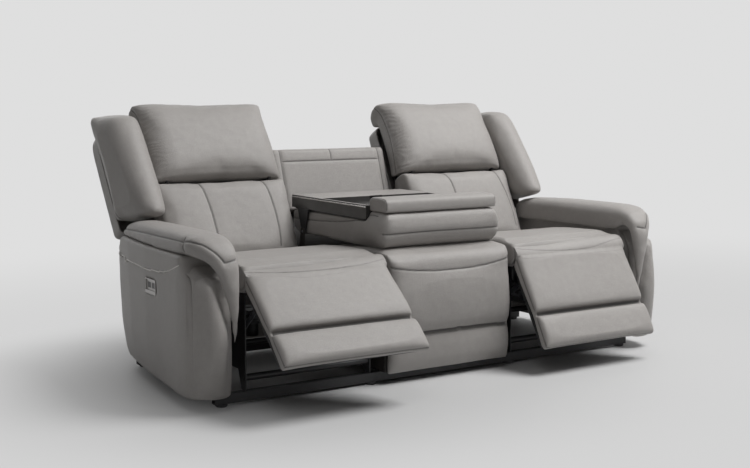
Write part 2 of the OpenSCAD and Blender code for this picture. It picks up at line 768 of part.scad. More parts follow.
// Torque tube of a leg rest with its two cranks and the lever in the middle
module legrest_crank(side, open) {
    r_end = [-link_pivot_n, -link_pivot_s];
    k_end = leg_lever * [sin(leg_sweep_mid), -cos(leg_sweep_mid)];
    reach = plate_x + plate_t + 4;
    color(black_steel) at_seat(side) translate([0, ground_p[0], ground_p[1]]) rotate([-open, 0, 0]) {
        bar([0, 0], tube_r, -reach, 2 * reach);
        both_sheets(crank_x, plate_t) link_shape([0, 0], r_end, tube_r + 4, link_out);
        for (end = [0, 1]) mirror([end, 0, 0])
            bar(r_end, pin_r, crank_x - pin_out, 2 * plate_t + plate_gap + pin_out);
        sheet(-lever_t / 2, lever_t) link_shape([0, 0], k_end, tube_r + 4, 9);
        bar(k_end, pin_r, -fork_in - fork_t - 2, 2 * (fork_in + fork_t + 2));
    }
}
module left_legrest_crank() { legrest_crank(-1, leg_open_left); }
module right_legrest_crank() { legrest_crank(1, leg_open_right); }

// A point of the closed leg rest, turned open
function leg_turned(p, open) =
    [p[0] * cos(open) + p[1] * sin(open), -p[0] * sin(open) + p[1] * cos(open)];

// Straight links between the cranks and the leg rest brackets
module legrest_links(side, open) {
    r_at = ground_p + leg_turned([-link_pivot_n, -link_pivot_s], open);
    q_at = leg_h + leg_turned([-link_pivot_n, -link_pivot_s], open);
    color(silver) at_seat(side) both_sheets(link_x, plate_t) difference() {
        link_shape(r_at, q_at, link_out, link_out);
        translate(r_at) circle(bore_r);
        translate(q_at) circle(bore_r);
    }
}
module left_legrest_links() { legrest_links(-1, leg_open_left); }
module right_legrest_links() { legrest_links(1, leg_open_right); }

// A forked actuator rod along +Y, with its slotted fork round a pin at the origin
module forked_rod(len, slot_half) {
    slot_y = pin_r + fork_gap;
    h = slot_half + 5;
    for (side = [0, 1]) mirror([side, 0, 0])
        translate([fork_in, 0, 0]) difference() {
            translate([0, -slot_y - 7, -h]) cube([fork_t, fork_reach + slot_y + 7, 2 * h]);
            translate([-1, -slot_y, -slot_half]) cube([fork_t + 2, 2 * slot_y, 2 * slot_half]);
        }
    translate([-fork_in - fork_t, fork_reach - 12, -12]) cube([2 * (fork_in + fork_t), 12, 24]);
    translate([0, fork_reach - 1, 0]) rotate([-90, 0, 0]) cylinder(r = rod_r, h = len - fork_reach + 1);
}

// Housing of an actuator along +Y: guide tube, gearbox and hanging motor, with its mouth at the origin
module actuator(tube_l, hang, tail) {
    od = rod_r + tube_wall;
    box_y = tube_l;
    difference() {
        rotate([-90, 0, 0]) cylinder(r = od, h = tube_l + 1);
        translate([0, -1, 0]) rotate([-90, 0, 0]) cylinder(r = rod_r + run_fit, h = tube_l - 4);
    }
    translate([-gear_h / 2, box_y, -gear_h / 2 - hang / 2 + 20]) cube([gear_h, gear_h, gear_h / 2 + hang / 2]);
    translate([0, box_y + gear_h / 2, -gear_h / 2 - hang / 2 + 20 - hang]) cylinder(r = motor_r, h = hang + 1);
    translate([-9, box_y + gear_h - 1, -10]) cube([18, tail + 1, 20]);
}

// Place of the leg rest rod's pin for an opening, by the actuator's even rate
function leg_rod_y(open) = ground_p[0] - leg_rate * leg_lever * (open - leg_sweep_mid) * PI / 180;
function back_rod_y(lean) = back_h[0] - back_lever * 0.985 * (lean - lean_mid) * PI / 180;

// Housings of the leg rest and back actuators of both seats
module recline_actuators() {
    leg_tail = rear_tube[0] - tube_r - 0.4 - (ground_p[0] + leg_mouth + 128 + gear_h);
    back_tail = back_h[0] - back_mouth - 112 - gear_h - tie_tube[0] - tube_r - 0.4;
    color(dark_plastic) for (side = [-1, 1]) at_seat(side) {
        translate([0, ground_p[0] + leg_mouth, leg_axis_z]) actuator(128, 50, leg_tail);
        translate([back_act_x, back_h[0] - back_mouth, back_axis_z]) mirror([0, 1, 0])
            actuator(112, 50, back_tail);
    }
}

// Extension rod of a leg rest actuator
module legrest_rod(side, open) {
    color(silver) at_seat(side) translate([0, leg_rod_y(open), leg_axis_z])
        forked_rod(leg_rod_l, leg_lever * 0.146 + pin_r + 1.5);
}
module left_legrest_rod() { legrest_rod(-1, leg_open_left); }
module right_legrest_rod() { legrest_rod(1, leg_open_right); }

// Extension rod of a back actuator
module back_rod(side) {
    color(silver) at_seat(side) translate([back_act_x, back_rod_y(back_lean), back_axis_z])
        mirror([0, 1, 0]) forked_rod(back_rod_l, back_lever * 0.027 + pin_r + 1.5);
}
module left_back_rod() { back_rod(-1); }
module right_back_rod() { back_rod(1); }

// Steel frame of a reclining back: two stiles with hinge brackets, rails and head rest ears
module back_frame(side) {
    y0 = -frame_n;
    k = back_lever * [-sin(lean_mid), -cos(lean_mid)];
    // lever end in the back's own frame, as [y, z]
    lever_end = [-k[0], k[1]];
    color(black_steel) at_seat(side) back_turn() {
        for (end = [0, 1]) mirror([end, 0, 0])
            translate([stile_in, y0, 40]) cube([stile_w, frame_t, stile_top - 40]);
        for (z = [40, actuator_rail_z, head_s - 50])
            translate([-stile_in + 0.3, y0, z]) cube([2 * stile_in - 0.6, frame_t, rail_h]);
        both_sheets(bracket_x, plate_t) difference() {
            union() {
                circle(18);
                polygon([
                    [-16, 5], [-8, 20], [y0, 23], [y0, 130], [y0 + frame_t, 130],
                    [y0 + frame_t, 2], [20, -14], [12, -13]
                ]);
            }
            circle(bore_r);
        }
        both_sheets(head_ear_x, plate_t) difference() {
            union() {
                translate([-head_n, head_s]) circle(10);
                polygon([
                    [-head_n, head_s - 10], [-head_n, head_s + 10], [y0 - 8, head_s + 10],
                    [y0 + frame_t, head_s + 2], [y0 + frame_t, head_s - 26], [y0, head_s - 26],
                    [y0, head_s - 14], [y0 - 8, head_s - 12]
                ]);
            }
            translate([-head_n, head_s]) circle(bore_r);
        }
        for (end = [-1, 1])
            bar([-head_n, head_s], pin_r, end * (head_ear_x - plate_gap / 2) - plate_t - pin_out, 2 * plate_t + 2 * pin_out - 0.2);
        sheet(back_act_x - lever_t / 2, lever_t)
            link_shape([y0 + frame_t + 2, 52], lever_end, 12, 9);
        bar(lever_end, pin_r, back_act_x - fork_in - fork_t - 2, 2 * (fork_in + fork_t + 2));
    }
}
module left_back_frame() { back_frame(-1); }
module right_back_frame() { back_frame(1); }

// Slots for the head rest ears in the padding above and below their hinge
module head_slots() {
    w = 2 * plate_t + plate_gap + 2 * pin_out + 2;
    for (end = [-1, 1])
        translate([end * (head_ear_x - plate_gap / 2) - w / 2, -head_n - 13, head_s - 16])
            cube([w, head_n + 60, 32]);
}

// Lower back cushion of an end seat
module back_cushion(side) {
    top = lumbar_h;
    drop = (back_face - head_n) * tan(head_cut);
    pts = [
        [-26, 26], [-30, -10], [-56, -12], [-back_face, 0], [-back_face - 4, 90],
        [-back_face - 6, 190], [-back_face - 3, 290], [-back_face + 1, top - drop - 3],
        [-head_n, top], [-cushion_rear, top], [-cushion_rear, 26]
    ];
    rev = [for (i = [len(pts) - 1:-1:0]) pts[i]];
    color(leather) at_seat(side) back_turn() difference() {
        cushion(hw, rev, [for (p = rev) [-cushion_rear, p[1]]]);
        head_slots();
    }
}
module left_back_cushion() { back_cushion(-1); }
module right_back_cushion() { back_cushion(1); }

// Head pillow of an end seat, reaching back over the shell
module head_pillow(side) {
    low = head_s + 2;
    drop = (back_face - head_n) * tan(head_cut);
    over = shell_top + 5;
    top = pillow_top;
    rear = -board_n - soft_gap;
    pts = [
        [rear, low], [-head_n, low], [-back_face, low + drop], [-back_face - 7, low + 60],
        [-back_face - 8, low + 140], [-back_face, low + 230], [-back_face + 16, top - 60],
        [-back_face + 44, top - 16], [-10, top - 2], [34, top], [74, top - 14],
        [92, top - 42], [90, over], [rear, over]
    ];
    rev = [for (i = [len(pts) - 1:-1:0]) pts[i]];
    centre = [8, (low + top) / 2];
    color(leather) at_seat(side) back_turn() difference() {
        cushion(hw, rev, [for (p = rev) p[1] > over - 1 ? [8, over] : [rear, p[1]]]);
        head_slots();
    }
}
module left_head_pillow() { head_pillow(-1); }
module right_head_pillow() { head_pillow(1); }

// Board of a head rest with the ears on its hinge and its lever
head_mid = head_tilt_max / 2;
head_end = [-head_n, head_s] + head_lever * [cos(head_mid), -sin(head_mid)];
module headrest_frame(side) {
    y0 = -board_n;
    ear_x = head_ear_x - plate_gap - plate_t;
    color(black_steel) at_seat(side) back_turn() {
        translate([-ear_x - plate_t, y0, head_s + 20])
            cube([2 * (ear_x + plate_t), head_board_t, shell_top - 25 - head_s - 20]);
        both_sheets(ear_x, plate_t) difference() {
            union() {
                translate([-head_n, head_s]) circle(10);
                polygon([
                    [-head_n, head_s - 10], [-head_n + 8, head_s + 8], [y0 - 6, head_s + 13], [y0, head_s + 15],
                    [y0, head_s + 60], [y0 + head_board_t, head_s + 60],
                    [y0 + head_board_t, head_s + 12], [y0 - 4, head_s - 4]
                ]);
            }
            translate([-head_n, head_s]) circle(bore_r);
        }
        sheet(-lever_t / 2, lever_t)
            link_shape([y0 + 13, head_s + 44], head_end, 12, 9);
        bar(head_end, pin_r, -fork_in - fork_t - 2, 2 * (fork_in + fork_t + 2));
    }
}
module left_headrest_frame() { headrest_frame(-1); }
module right_headrest_frame() { headrest_frame(1); }

// Actuator of a head rest inside the back, and its rod
head_rod_l = 150;
head_mouth = 78;
module headrest_actuator(side) {
    z_mouth = head_end[1] - head_mouth;
    front = frame_t - frame_n - head_end[0] + 0.3;
    color(dark_plastic) at_seat(side) back_turn() translate([0, head_end[0], z_mouth]) {
        difference() {
            translate([0, 0, -100]) cylinder(r = rod_r + 6, h = 100);
            translate([0, 0, -96]) cylinder(r = rod_r + run_fit, h = 97);
        }
        translate([-25, front, -150]) cube([50, 30 - front, 51]);
        translate([24, 8, -125]) rotate([0, 90, 0]) cylinder(r = 21, h = 80);
    }
}
module left_headrest_actuator() { headrest_actuator(-1); }
module right_headrest_actuator() { headrest_actuator(1); }
module headrest_rod(side) {
    color(silver) at_seat(side) back_turn() translate([0, head_end[0], head_end[1]])
        rotate([-90, 0, 0]) forked_rod(head_rod_l, head_lever * 0.035 + pin_r + 1.5);
}
module left_headrest_rod() { headrest_rod(-1); }
module right_headrest_rod() { headrest_rod(1); }

// Outline of the back shell across its width, as [x, height], drawn in by d
function shell_outline(d) = [
    [-hw + d, -10 + d], [hw + 4 - d, -10 + d], [hw + 4 - d, 190 + d], [hw + wing_w - 32 - d, 198 + d],
    [hw + wing_w - 10 - d, shell_top - 60], [hw + wing_w - 18 - d, shell_top - 18],
    [hw + wing_w - 40, shell_top - d], [-hw + 24, shell_top - d], [-hw + 4 + d, shell_top - 16], [-hw + d, shell_top - 40]
];

// Hollow rear shell of a reclining back, with its side behind the wing
module back_shell(side) {
    depth = shell_rear + shell_front;
    color(leather) at_seat(side) back_turn() translate([0, -shell_front + depth, 0]) rotate([90, 0, 0])
        difference() {
            linear_extrude(depth) polygon(shell_outline(0));
            translate([0, 0, shell_wall]) linear_extrude(depth) polygon(shell_outline(shell_wall));
        }
}
module left_back_shell() { back_shell(-1); }
module right_back_shell() { back_shell(1); }

// Padded wing at the outer side of a reclining back
module wing(side) {
    in_x = hw + 5;
    rear = -shell_front - 0.4;
    // section at share t of the height, as points [x, share from rear to front]
    shape = [
        [0, 0], [0, 0.8], [0.1, 0.92], [0.3, 1], [0.5, 0.985], [0.68, 0.9], [0.8, 0.7], [0.93, 0.35],
        [1, 0.12], [1, 0]
    ];
    ts = [[0, 0.8], [0.015, 0.9], [0.06, 0.97], [0.3, 1], [0.6, 1], [0.85, 0.98], [0.95, 0.93], [0.985, 0.86], [1, 0.76]];
    rings = [for (e = ts) [for (p = shape)
        let (
            t = e[0], k = e[1],
            front = 200 - 105 * t,
            n = -rear + (front + rear) * p[1] * k,
            x = in_x + (wing_w + 4) * (p[0] * (0.5 + k / 2)) * (0.84 + 0.16 * t),
            low = 160 + (200 - n) * 0.284,
            high = 672 + (40 - n) * 0.42
        )
        [x, -n, low + (high - low) * t]]];
    color(leather) at_seat(side) back_turn() loft(rings);
}
module left_wing() { wing(-1); }
module right_wing() { wing(1); }

// Steel sheet and hinge arms that carry the table
module table_frame() {
    z0 = tray_bottom - frame_sheet - 0.3;
    color(black_steel) placed() {
        difference() {
            translate([-table_w / 2 + 6, cap_split + 20, z0])
                cube([table_w - 12, table_rear - 20 - cap_split - 20, frame_sheet]);
            translate([-cup_x - cup_r - 12, cup_y - cup_r - 12, z0 - 1])
                cube([2 * (cup_x + cup_r + 12), 2 * cup_r + 24, frame_sheet + 2]);
        }
        for (side = [0, 1]) mirror([side, 0, 0]) {
            sheet(table_arm_x, plate_t) difference() {
                union() {
                    translate(table_h) circle(16);
                    polygon([
                        table_h + [-16, 0], table_h + [16, 0], [table_h[0] + 46, z0 - 4],
                        [table_h[0] + 46, z0 + frame_sheet], [table_h[0] - 40, z0 + frame_sheet], [table_h[0] - 40, z0 - 4]
                    ]);
                }
                translate(table_h) circle(bore_r);
            }
            translate([table_w / 2 - 10, table_h[0] - 40, z0]) cube([table_arm_x - table_w / 2 + 11, 86, frame_sheet]);
        }
    }
}
cup_x = 70;
cup_y = -190;

// Padded back of the middle seat, which lies face down under the table
module table_cushion() {
    top = tray_bottom - frame_sheet - 0.8;
    low = 512;
    f = table_front;
    pts = [
        [f + 60, low], [table_h[0] + 60, low + 2], [table_rear - 20, low + 14],
        [table_rear + 2, low + 50], [table_rear, top], [cap_split - soft_gap, top],
        [cap_split - soft_gap - 3, table_z - 24], [cap_split - 20, table_z - 22], [f + 36, table_z - 23], [f + 12, table_z - 34],
        [f, table_z - 70], [f + 4, low + 50], [f + 22, low + 16]
    ];
    color(leather) placed() difference() {
        cushion(table_w / 2 + 2, pts, [for (p = pts) [p[0] < f + 60 ? f + 60 : p[0], p[1] > 600 ? p[1] : 600]]);
        translate([-cup_x - cup_r - 8, cup_y - cup_r - 8, table_z - recess_d - cup_d - 8])
            cube([2 * (cup_x + cup_r + 8), 2 * cup_r + 16, 100]);
    }
}

// Moulded table tray: a rear shelf, a recess with two cup wells and a finger notch
module table_tray() {
    wall = 3;
    rim = 14;
    recess_rear = 66;
    recess_front = cap_split + 8;
    floor_z = table_z - recess_d;
    corner = 18;
    color(dark_plastic) placed() difference() {
        union() {
            translate([-table_w / 2, cap_split, tray_bottom]) cube([table_w, table_rear - cap_split, tray_h]);
            for (side = [-1, 1]) translate([side * cup_x, cup_y, floor_z - cup_d - wall])
                cylinder(r = cup_r + wall, h = cup_d);
        }
        difference() {
            translate([-table_w / 2 + wall, cap_split + wall, tray_bottom - 1])
                cube([table_w - 2 * wall, table_rear - cap_split - 2 * wall, tray_h - wall + 1]);
            translate([-table_w / 2 + rim - wall, recess_front - wall, floor_z - wall])
                cube([table_w - 2 * rim + 2 * wall, recess_rear - recess_front + 2 * wall, recess_d + wall]);
            for (side = [-1, 1]) translate([side * cup_x, cup_y, floor_z - cup_d - wall])
                cylinder(r = cup_r + wall, h = cup_d);
        }
        translate([-table_w / 2 + rim, recess_front, floor_z])
            cube([table_w - 2 * rim, recess_rear - recess_front, recess_d + 1]);
        translate([-30, recess_rear - 1, floor_z]) cube([60, 13, recess_d + 1]);
        for (side = [-1, 1]) translate([side * cup_x, cup_y, floor_z - cup_d])
            cylinder(r = cup_r, h = cup_d + 1);
    }
}

// Padded roll across the front end of the table
module table_cap() {
    z0 = table_z - 21;
    z1 = table_z + 33;
    f = table_front + 8;
    r = cap_split - 0.5;
    pts = [
        [f + 6, z0], [r, z0], [r, z1 - 10], [r - 6, z1 - 3], [r - 20, z1], [f + 34, z1], [f + 14, z1 - 4],
        [f + 3, z1 - 14], [f, z0 + 20]
    ];
    color(leather) placed() cushion(table_w / 2, pts, [for (p = pts) [(f + r) / 2, z0]]);
}

floor_rails();
floor_glides();
mechanism_plates();
cross_tubes();
pivot_pins();
seat_decks();
recline_actuators();
power_box();
rear_panel();
left_arm_box();
right_arm_box();
left_arm_front();
right_arm_front();
left_arm_pad();
right_arm_pad();
left_control_plate();
right_control_plate();
left_seat_cushion();
middle_seat_cushion();
right_seat_cushion();
middle_seat_box();
middle_front_pad();
middle_back_frame();
middle_back_pad();
left_legrest_frame();
right_legrest_frame();
left_legrest_pad();
right_legrest_pad();
left_legrest_crank();
right_legrest_crank();
left_legrest_links();
right_legrest_links();
left_legrest_rod();
right_legrest_rod();
left_back_frame();
right_back_frame();
left_back_cushion();
right_back_cushion();
left_wing();
right_wing();
left_back_shell();
right_back_shell();
left_headrest_frame();
right_headrest_frame();
left_head_pillow();
right_head_pillow();
left_back_rod();
right_back_rod();
left_headrest_actuator();
right_headrest_actuator();
left_headrest_rod();
right_headrest_rod();
left_recline_key();
left_headrest_key();
right_recline_key();
right_headrest_key();
table_frame();
table_cushion();
table_tray();
table_cap();
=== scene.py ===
import itertools
import math
import bpy
import numpy as np
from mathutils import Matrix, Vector
from mathutils.bvhtree import BVHTree


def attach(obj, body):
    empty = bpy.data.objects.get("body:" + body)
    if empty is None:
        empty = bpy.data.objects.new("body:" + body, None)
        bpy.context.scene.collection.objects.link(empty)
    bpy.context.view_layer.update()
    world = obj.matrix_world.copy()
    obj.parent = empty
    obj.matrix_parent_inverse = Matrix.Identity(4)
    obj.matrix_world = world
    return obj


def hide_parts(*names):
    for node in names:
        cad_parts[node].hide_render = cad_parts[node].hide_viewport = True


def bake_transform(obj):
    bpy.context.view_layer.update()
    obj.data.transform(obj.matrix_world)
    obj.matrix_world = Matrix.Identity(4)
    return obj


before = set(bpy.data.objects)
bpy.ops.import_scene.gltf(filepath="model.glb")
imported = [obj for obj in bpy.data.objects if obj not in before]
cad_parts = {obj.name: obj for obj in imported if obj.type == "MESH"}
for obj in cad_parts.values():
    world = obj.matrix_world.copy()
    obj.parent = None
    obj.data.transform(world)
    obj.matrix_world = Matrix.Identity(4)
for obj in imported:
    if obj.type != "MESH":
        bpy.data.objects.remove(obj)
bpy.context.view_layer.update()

# --- The studio ---
# A pale floor that runs off into a pale backdrop, one broad lamp high on the right and two
# weak fill lamps, and the camera low in front of the left arm.
MM = 0.001
SOFA_SHIFT = 80.3213  # from the sofa's own drawing to the frame, along Y
CAMERA_AT = (-2.640, -4.0317, 1.087)
CAMERA_TURN = (83.29, 0.0, -32.24)
CAMERA_LENS = 55.94
LAMPS = {"key_lamp": ((2.5, -1.8, 5.0), (0, 0, 0.5), 3.0, 312),  # place, aim, size, watts
         "left_fill": ((-2.2, -2.4, 5.2), (0, 0, 0.5), 2.4, 20),
         "rear_fill": ((-1.0, 4.2, 2.6), (0, 0, 0.6), 2.6, 26)}
AMBIENT = 0.083
BACKDROP = (0.737, 0.737, 0.737, 1)
FLOOR = (0.582, 0.582, 0.582, 1)
FLOOR_FAR = (0.655, 0.655, 0.655, 1)
FLOOR_RADIUS = 14.0
FLOOR_SIDES = 96
FLOOR_SHAPE = (0.87, 1.18, 1)  # the lit patch of floor is an oval under the sofa
FLOOR_FADE = (0.75, 1.9)  # from lit floor to plain floor, in metres from the middle
FLOOR_END = (1.8, 5.0)  # from plain floor to backdrop

scene = bpy.context.scene
scene.view_settings.view_transform = "Standard"


def drawn(x, y, z):
    """A point of the sofa's own drawing, in the frame."""
    return Vector((x * MM, (y + SOFA_SHIFT) * MM, z * MM))


def new_object(name, points, faces):
    """A new mesh in the scene."""
    mesh = bpy.data.meshes.new(name)
    mesh.from_pydata(points, [], faces)
    obj = bpy.data.objects.new(name, mesh)
    scene.collection.objects.link(obj)
    return obj


class Graph:
    """The shader nodes of one material, or of the world."""

    def __init__(self, owner):
        owner.use_nodes = True
        self.owner, self.tree = owner, owner.node_tree
        self.tree.nodes.clear()

    def add(self, kind, inputs=(), **settings):
        """A node with its settings; an input takes a value, an output or a node's first output."""
        node = self.tree.nodes.new("ShaderNode" + kind)
        for key, value in settings.items():
            setattr(node, key, value)
        for key, value in dict(inputs).items():
            if isinstance(value, bpy.types.Node):
                value = value.outputs[0]
            if isinstance(value, bpy.types.NodeSocket):
                self.tree.links.new(value, node.inputs[key])
            else:
                node.inputs[key].default_value = value
        return node

    def seen_straight(self):
        """1 for camera, glossy and transmission rays."""
        path = self.add("LightPath").outputs
        eye = self.add("Math", {0: path["Is Camera Ray"], 1: path["Is Glossy Ray"]}, operation="MAXIMUM")
        return self.add("Math", {0: eye, 1: path["Is Transmission Ray"]}, operation="MAXIMUM")

    def place(self):
        """Each point's place on its object."""
        return self.add("TexCoord").outputs["Object"]

    def finish(self, shader, kind="Material"):
        """Puts the shader on the material or the world."""
        self.add("Output" + kind, {"Surface": shader})
        return self.owner

    def ramp(self, amount, start, end, first=0.0, last=1.0):
        """A colour ramp from start to end."""
        node = self.add("ValToRGB", {"Fac": amount})
        for stop, place, colour in zip(node.color_ramp.elements, (first, last), (start, end)):
            stop.position, stop.color = place, colour
        return node


camera = bpy.data.objects.new("camera", bpy.data.cameras.new("camera"))
camera.location = CAMERA_AT
camera.rotation_euler = [math.radians(a) for a in CAMERA_TURN]
camera.data.lens, camera.data.sensor_width, camera.data.clip_end = CAMERA_LENS, 36, 60
scene.collection.objects.link(camera)
scene.camera = camera

for name, (place, aim, size, watts) in LAMPS.items():
    light = bpy.data.lights.new(name, "AREA")
    light.shape, light.size, light.energy = "DISK", size, watts
    lamp = bpy.data.objects.new(name, light)
    lamp.location = place
    lamp.rotation_euler = (Vector(aim) - Vector(place)).to_track_quat("-Z", "Y").to_euler()
    scene.collection.objects.link(lamp)

scene.world = bpy.data.worlds.new("backdrop")
sky = Graph(scene.world)
ambient = sky.add("Background", {"Color": (1, 1, 1, 1), "Strength": AMBIENT})
backdrop = sky.add("Background", {"Color": BACKDROP})
sky.finish(sky.add("MixShader", {0: sky.seen_straight(), 1: ambient, 2: backdrop}), "World")

turns = [i * math.tau / FLOOR_SIDES for i in range(FLOOR_SIDES)]
rim = [(FLOOR_RADIUS * math.cos(a), FLOOR_RADIUS * math.sin(a), 0) for a in turns]
floor = new_object("studio_floor", rim, [list(range(FLOOR_SIDES))])
ground = Graph(bpy.data.materials.new("studio_floor"))
lit = ground.add("BsdfPrincipled", {"Base Color": FLOOR, "Roughness": 0.55, "Specular IOR Level": 0.25})
oval = ground.add("Mapping", {"Vector": ground.place(), "Scale": FLOOR_SHAPE})
far = ground.add("VectorMath", {0: oval}, operation="LENGTH").outputs["Value"]
near_fade, far_fade = (ground.add("MapRange", {"Value": far, "From Min": low, "From Max": high},
                                  interpolation_type="SMOOTHSTEP")
                       for low, high in (FLOOR_FADE, FLOOR_END))
plain = ground.add("MixRGB", {"Fac": far_fade, "Color1": FLOOR_FAR, "Color2": BACKDROP})
when = ground.add("Math", {0: near_fade, 1: ground.seen_straight()}, operation="MULTIPLY")
ground_mix = ground.add("MixShader", {0: when, 1: lit, 2: ground.add("Emission", {"Color": plain})})
floor.data.materials.append(ground.finish(ground_mix))

# --- Steel base and recliner mechanisms ---
# Pressed and welded mild steel: floor rails, cross tubes and side plates in black powder
# coat, links and actuator rods zinc plated, pivots riveted. The deep bays read as black.


def metal(name, colour, rough, metallic, speck=0.05, bump=0.12, scale=900):
    """Painted or plated steel: even coat, fine orange peel, darker rubbed patches."""
    graph = Graph(bpy.data.materials.new(name))
    place = graph.place()
    patch = graph.add("TexNoise", {"Vector": place, "Scale": 22, "Detail": 6})
    tone = graph.ramp(patch, [c * (1 - speck * 3) for c in colour] + [1],
                      [min(1, c * (1 + speck * 2)) for c in colour] + [1], 0.32, 0.72)
    rub = graph.add("MapRange", {"Value": patch, "To Min": rough - 0.08, "To Max": rough + 0.10})
    peel = graph.add("TexNoise", {"Vector": place, "Scale": scale, "Detail": 2})
    bumps = graph.add("Bump", {"Height": peel, "Strength": bump, "Distance": 0.0004})
    return graph.finish(graph.add("BsdfPrincipled", {
        "Metallic": metallic, "Base Color": tone, "Roughness": rub, "Normal": bumps}))


def finish_nodes(material, *names):
    """This material on the CAD's own solids; a name that starts with _ stands for both sides."""
    for name in names:
        for side in SIDES if name[0] == "_" else ("",):
            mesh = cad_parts[side + name].data
            if len(mesh.materials) == 0:
                mesh.materials.append(material)
            for i in range(len(mesh.materials)):
                mesh.materials[i] = material


SIDES = ("left", "right")
black_steel = metal("black_powder_coat", (0.016, 0.016, 0.017), 0.46, 0.0)
zinc_steel = metal("zinc_plated_steel", (0.30, 0.31, 0.33), 0.38, 0.9, 0.08, 0.10, 500)
finish_nodes(black_steel, "floor_rails", "mechanism_plates", "cross_tubes", "table_frame",
             "_legrest_crank", "_back_frame", "_headrest_frame", "_legrest_frame")
finish_nodes(zinc_steel, "pivot_pins", "_legrest_links", "_legrest_rod", "_back_rod", "_headrest_rod")

# --- Motors, power box and floor glides ---
# Injection moulded black polymer with a light spark texture: the actuators' housings, the
# transformer case under the middle seat, and the glides pressed into the floor rails.
motor_black = metal("moulded_black_polymer", (0.024, 0.024, 0.026), 0.52, 0.0, 0.06, 0.35, 1500)
finish_nodes(motor_black, "recline_actuators", "power_box", "floor_glides", "_headrest_actuator")

# --- Seat decks and timber ---
# Kiln-dried hardwood and plywood: seat decks, the middle seat's box and the board in the
# middle back. Sawn faces with long growth lines, glued and screwed.
# Both grain tones are near black: painted shade for the deep dark bays under the seats and behind the table;
# the grain between them is the wood's own.
WOOD_LIGHT = (0.030, 0.026, 0.023, 1)
WOOD_DARK = (0.014, 0.012, 0.011, 1)
WOOD_GRAIN = (3, 34, 34)  # the grain runs along the boards, across the sofa
wood = Graph(bpy.data.materials.new("hardwood_dark_as_painted_shade"))
board = wood.add("Mapping", {"Vector": wood.place(), "Scale": WOOD_GRAIN})
rings = wood.add("TexNoise", {"Vector": board, "Scale": 2.4, "Detail": 8, "Distortion": 0.7})
sawn = wood.add("MapRange", {"Value": rings, "To Min": 0.55, "To Max": 0.75})
pores = wood.add("Bump", {"Height": rings, "Strength": 0.25, "Distance": 0.0006})
shade_dark_wood = wood.add("BsdfPrincipled", {"Base Color": wood.ramp(rings, WOOD_DARK, WOOD_LIGHT, 0.35, 0.65),
                                           "Roughness": sawn, "Normal": pores})
finish_nodes(wood.finish(shade_dark_wood), "seat_decks", "middle_seat_box", "middle_back_frame")

# --- Leather covers: arms ---
# Grey semi-aniline leather with a fine pebble grain over foam on a timber arm box: a flat
# outer panel with a light yoke seam, a bulged front panel and a padded top that falls down
# the front. Each cover is cut in panels, sewn inside out and stapled under the arm.
LEATHER = (0.376, 0.356, 0.340)
# painted shade: the near-black colour laid into the grooves of seams and creases
SEAM_SHADE = (0.0363, 0.03432, 0.03278, 1)
THREAD = (0.115, 0.108, 0.102)
PALE_THREAD = (0.78, 0.76, 0.73)
STITCH_PITCH = 6.5
STITCH_LENGTH = 4.4
STITCH_RADIUS = 0.55


def leather(name, shade=1.0, wear=1.0):
    """Pebbled leather: pigment patches, pores, fine creases, rubbed light areas, and painted
    shade darkening the deep line along every seam and crease, from the piece's own 'seam' values."""
    graph = Graph(bpy.data.materials.new(name))
    place = graph.place()
    patches = graph.add("TexNoise", {"Vector": place, "Scale": 3.2, "Detail": 5, "Roughness": 0.55})
    mottle = graph.add("TexNoise", {"Vector": place, "Scale": 38, "Detail": 6})
    pores, creases = (graph.add("TexVoronoi", {"Vector": place, "Scale": scale}, feature="DISTANCE_TO_EDGE")
                      for scale in (620, 95))
    tone = graph.ramp(patches, [c * 0.965 * shade for c in LEATHER] + [1],
                      [min(1, c * 1.035 * shade) for c in LEATHER] + [1], 0.30, 0.74)
    rubbed = graph.add("MixRGB", {"Fac": 0.14 * wear, "Color1": tone, "Color2": mottle},
                       blend_type="SOFT_LIGHT")
    pore = graph.add("MapRange", {"Value": pores, "From Max": 0.22})
    pored = graph.add("MixRGB", {"Fac": 0.16, "Color1": rubbed, "Color2": pore}, blend_type="MULTIPLY")
    # painted shade: the leather darkened where the 'seam' values mark a seam or crease groove
    seam = graph.add("Attribute", attribute_name="seam").outputs["Fac"]
    seamed = graph.add("MixRGB", {"Fac": seam, "Color1": pored, "Color2": SEAM_SHADE})
    rough = graph.add("MapRange", {"Value": mottle, "To Min": 0.40, "To Max": 0.56})
    crease = graph.add("MapRange", {"Value": creases, "From Max": 0.10})
    bumps = {}
    for height, strength, distance in ((mottle, 0.30, 0.0030), (crease, 0.22, 0.0010), (pore, 0.34, 0.0006)):
        bumps = {"Normal": graph.add("Bump", {
            "Height": height, "Strength": strength, "Distance": distance} | bumps)}
    return graph.finish(graph.add("BsdfPrincipled", {
        "Base Color": seamed, "Roughness": rough, "Specular IOR Level": 0.42, "Sheen Weight": 0.10,
        "Sheen Roughness": 0.45} | bumps))


def stitching_thread(name, colour):
    """Bonded thread: two twisted plies, slightly glossy."""
    graph = Graph(bpy.data.materials.new(name))
    plies = graph.add("TexWave", {"Vector": graph.place(), "Scale": 900, "Distortion": 1.5}).outputs["Fac"]
    tone = graph.ramp(plies, [c * 0.7 for c in colour] + [1], [min(1, c * 1.25) for c in colour] + [1])
    rough = graph.add("MapRange", {"Value": plies, "To Min": 0.45, "To Max": 0.65})
    return graph.finish(graph.add("BsdfPrincipled", {"Base Color": tone, "Roughness": rough}))


seat_leather = leather("grey_leather")
shell_leather = leather("grey_leather_outside_back", 0.92, 0.8)
thread = stitching_thread("sewing_thread", THREAD)
pale_thread = stitching_thread("pale_sewing_thread", PALE_THREAD)


def both(points, side):
    """A line drawn for the left side, on the side asked for."""
    return [(x if side == "left" else -x, y, z) for x, y, z in points]


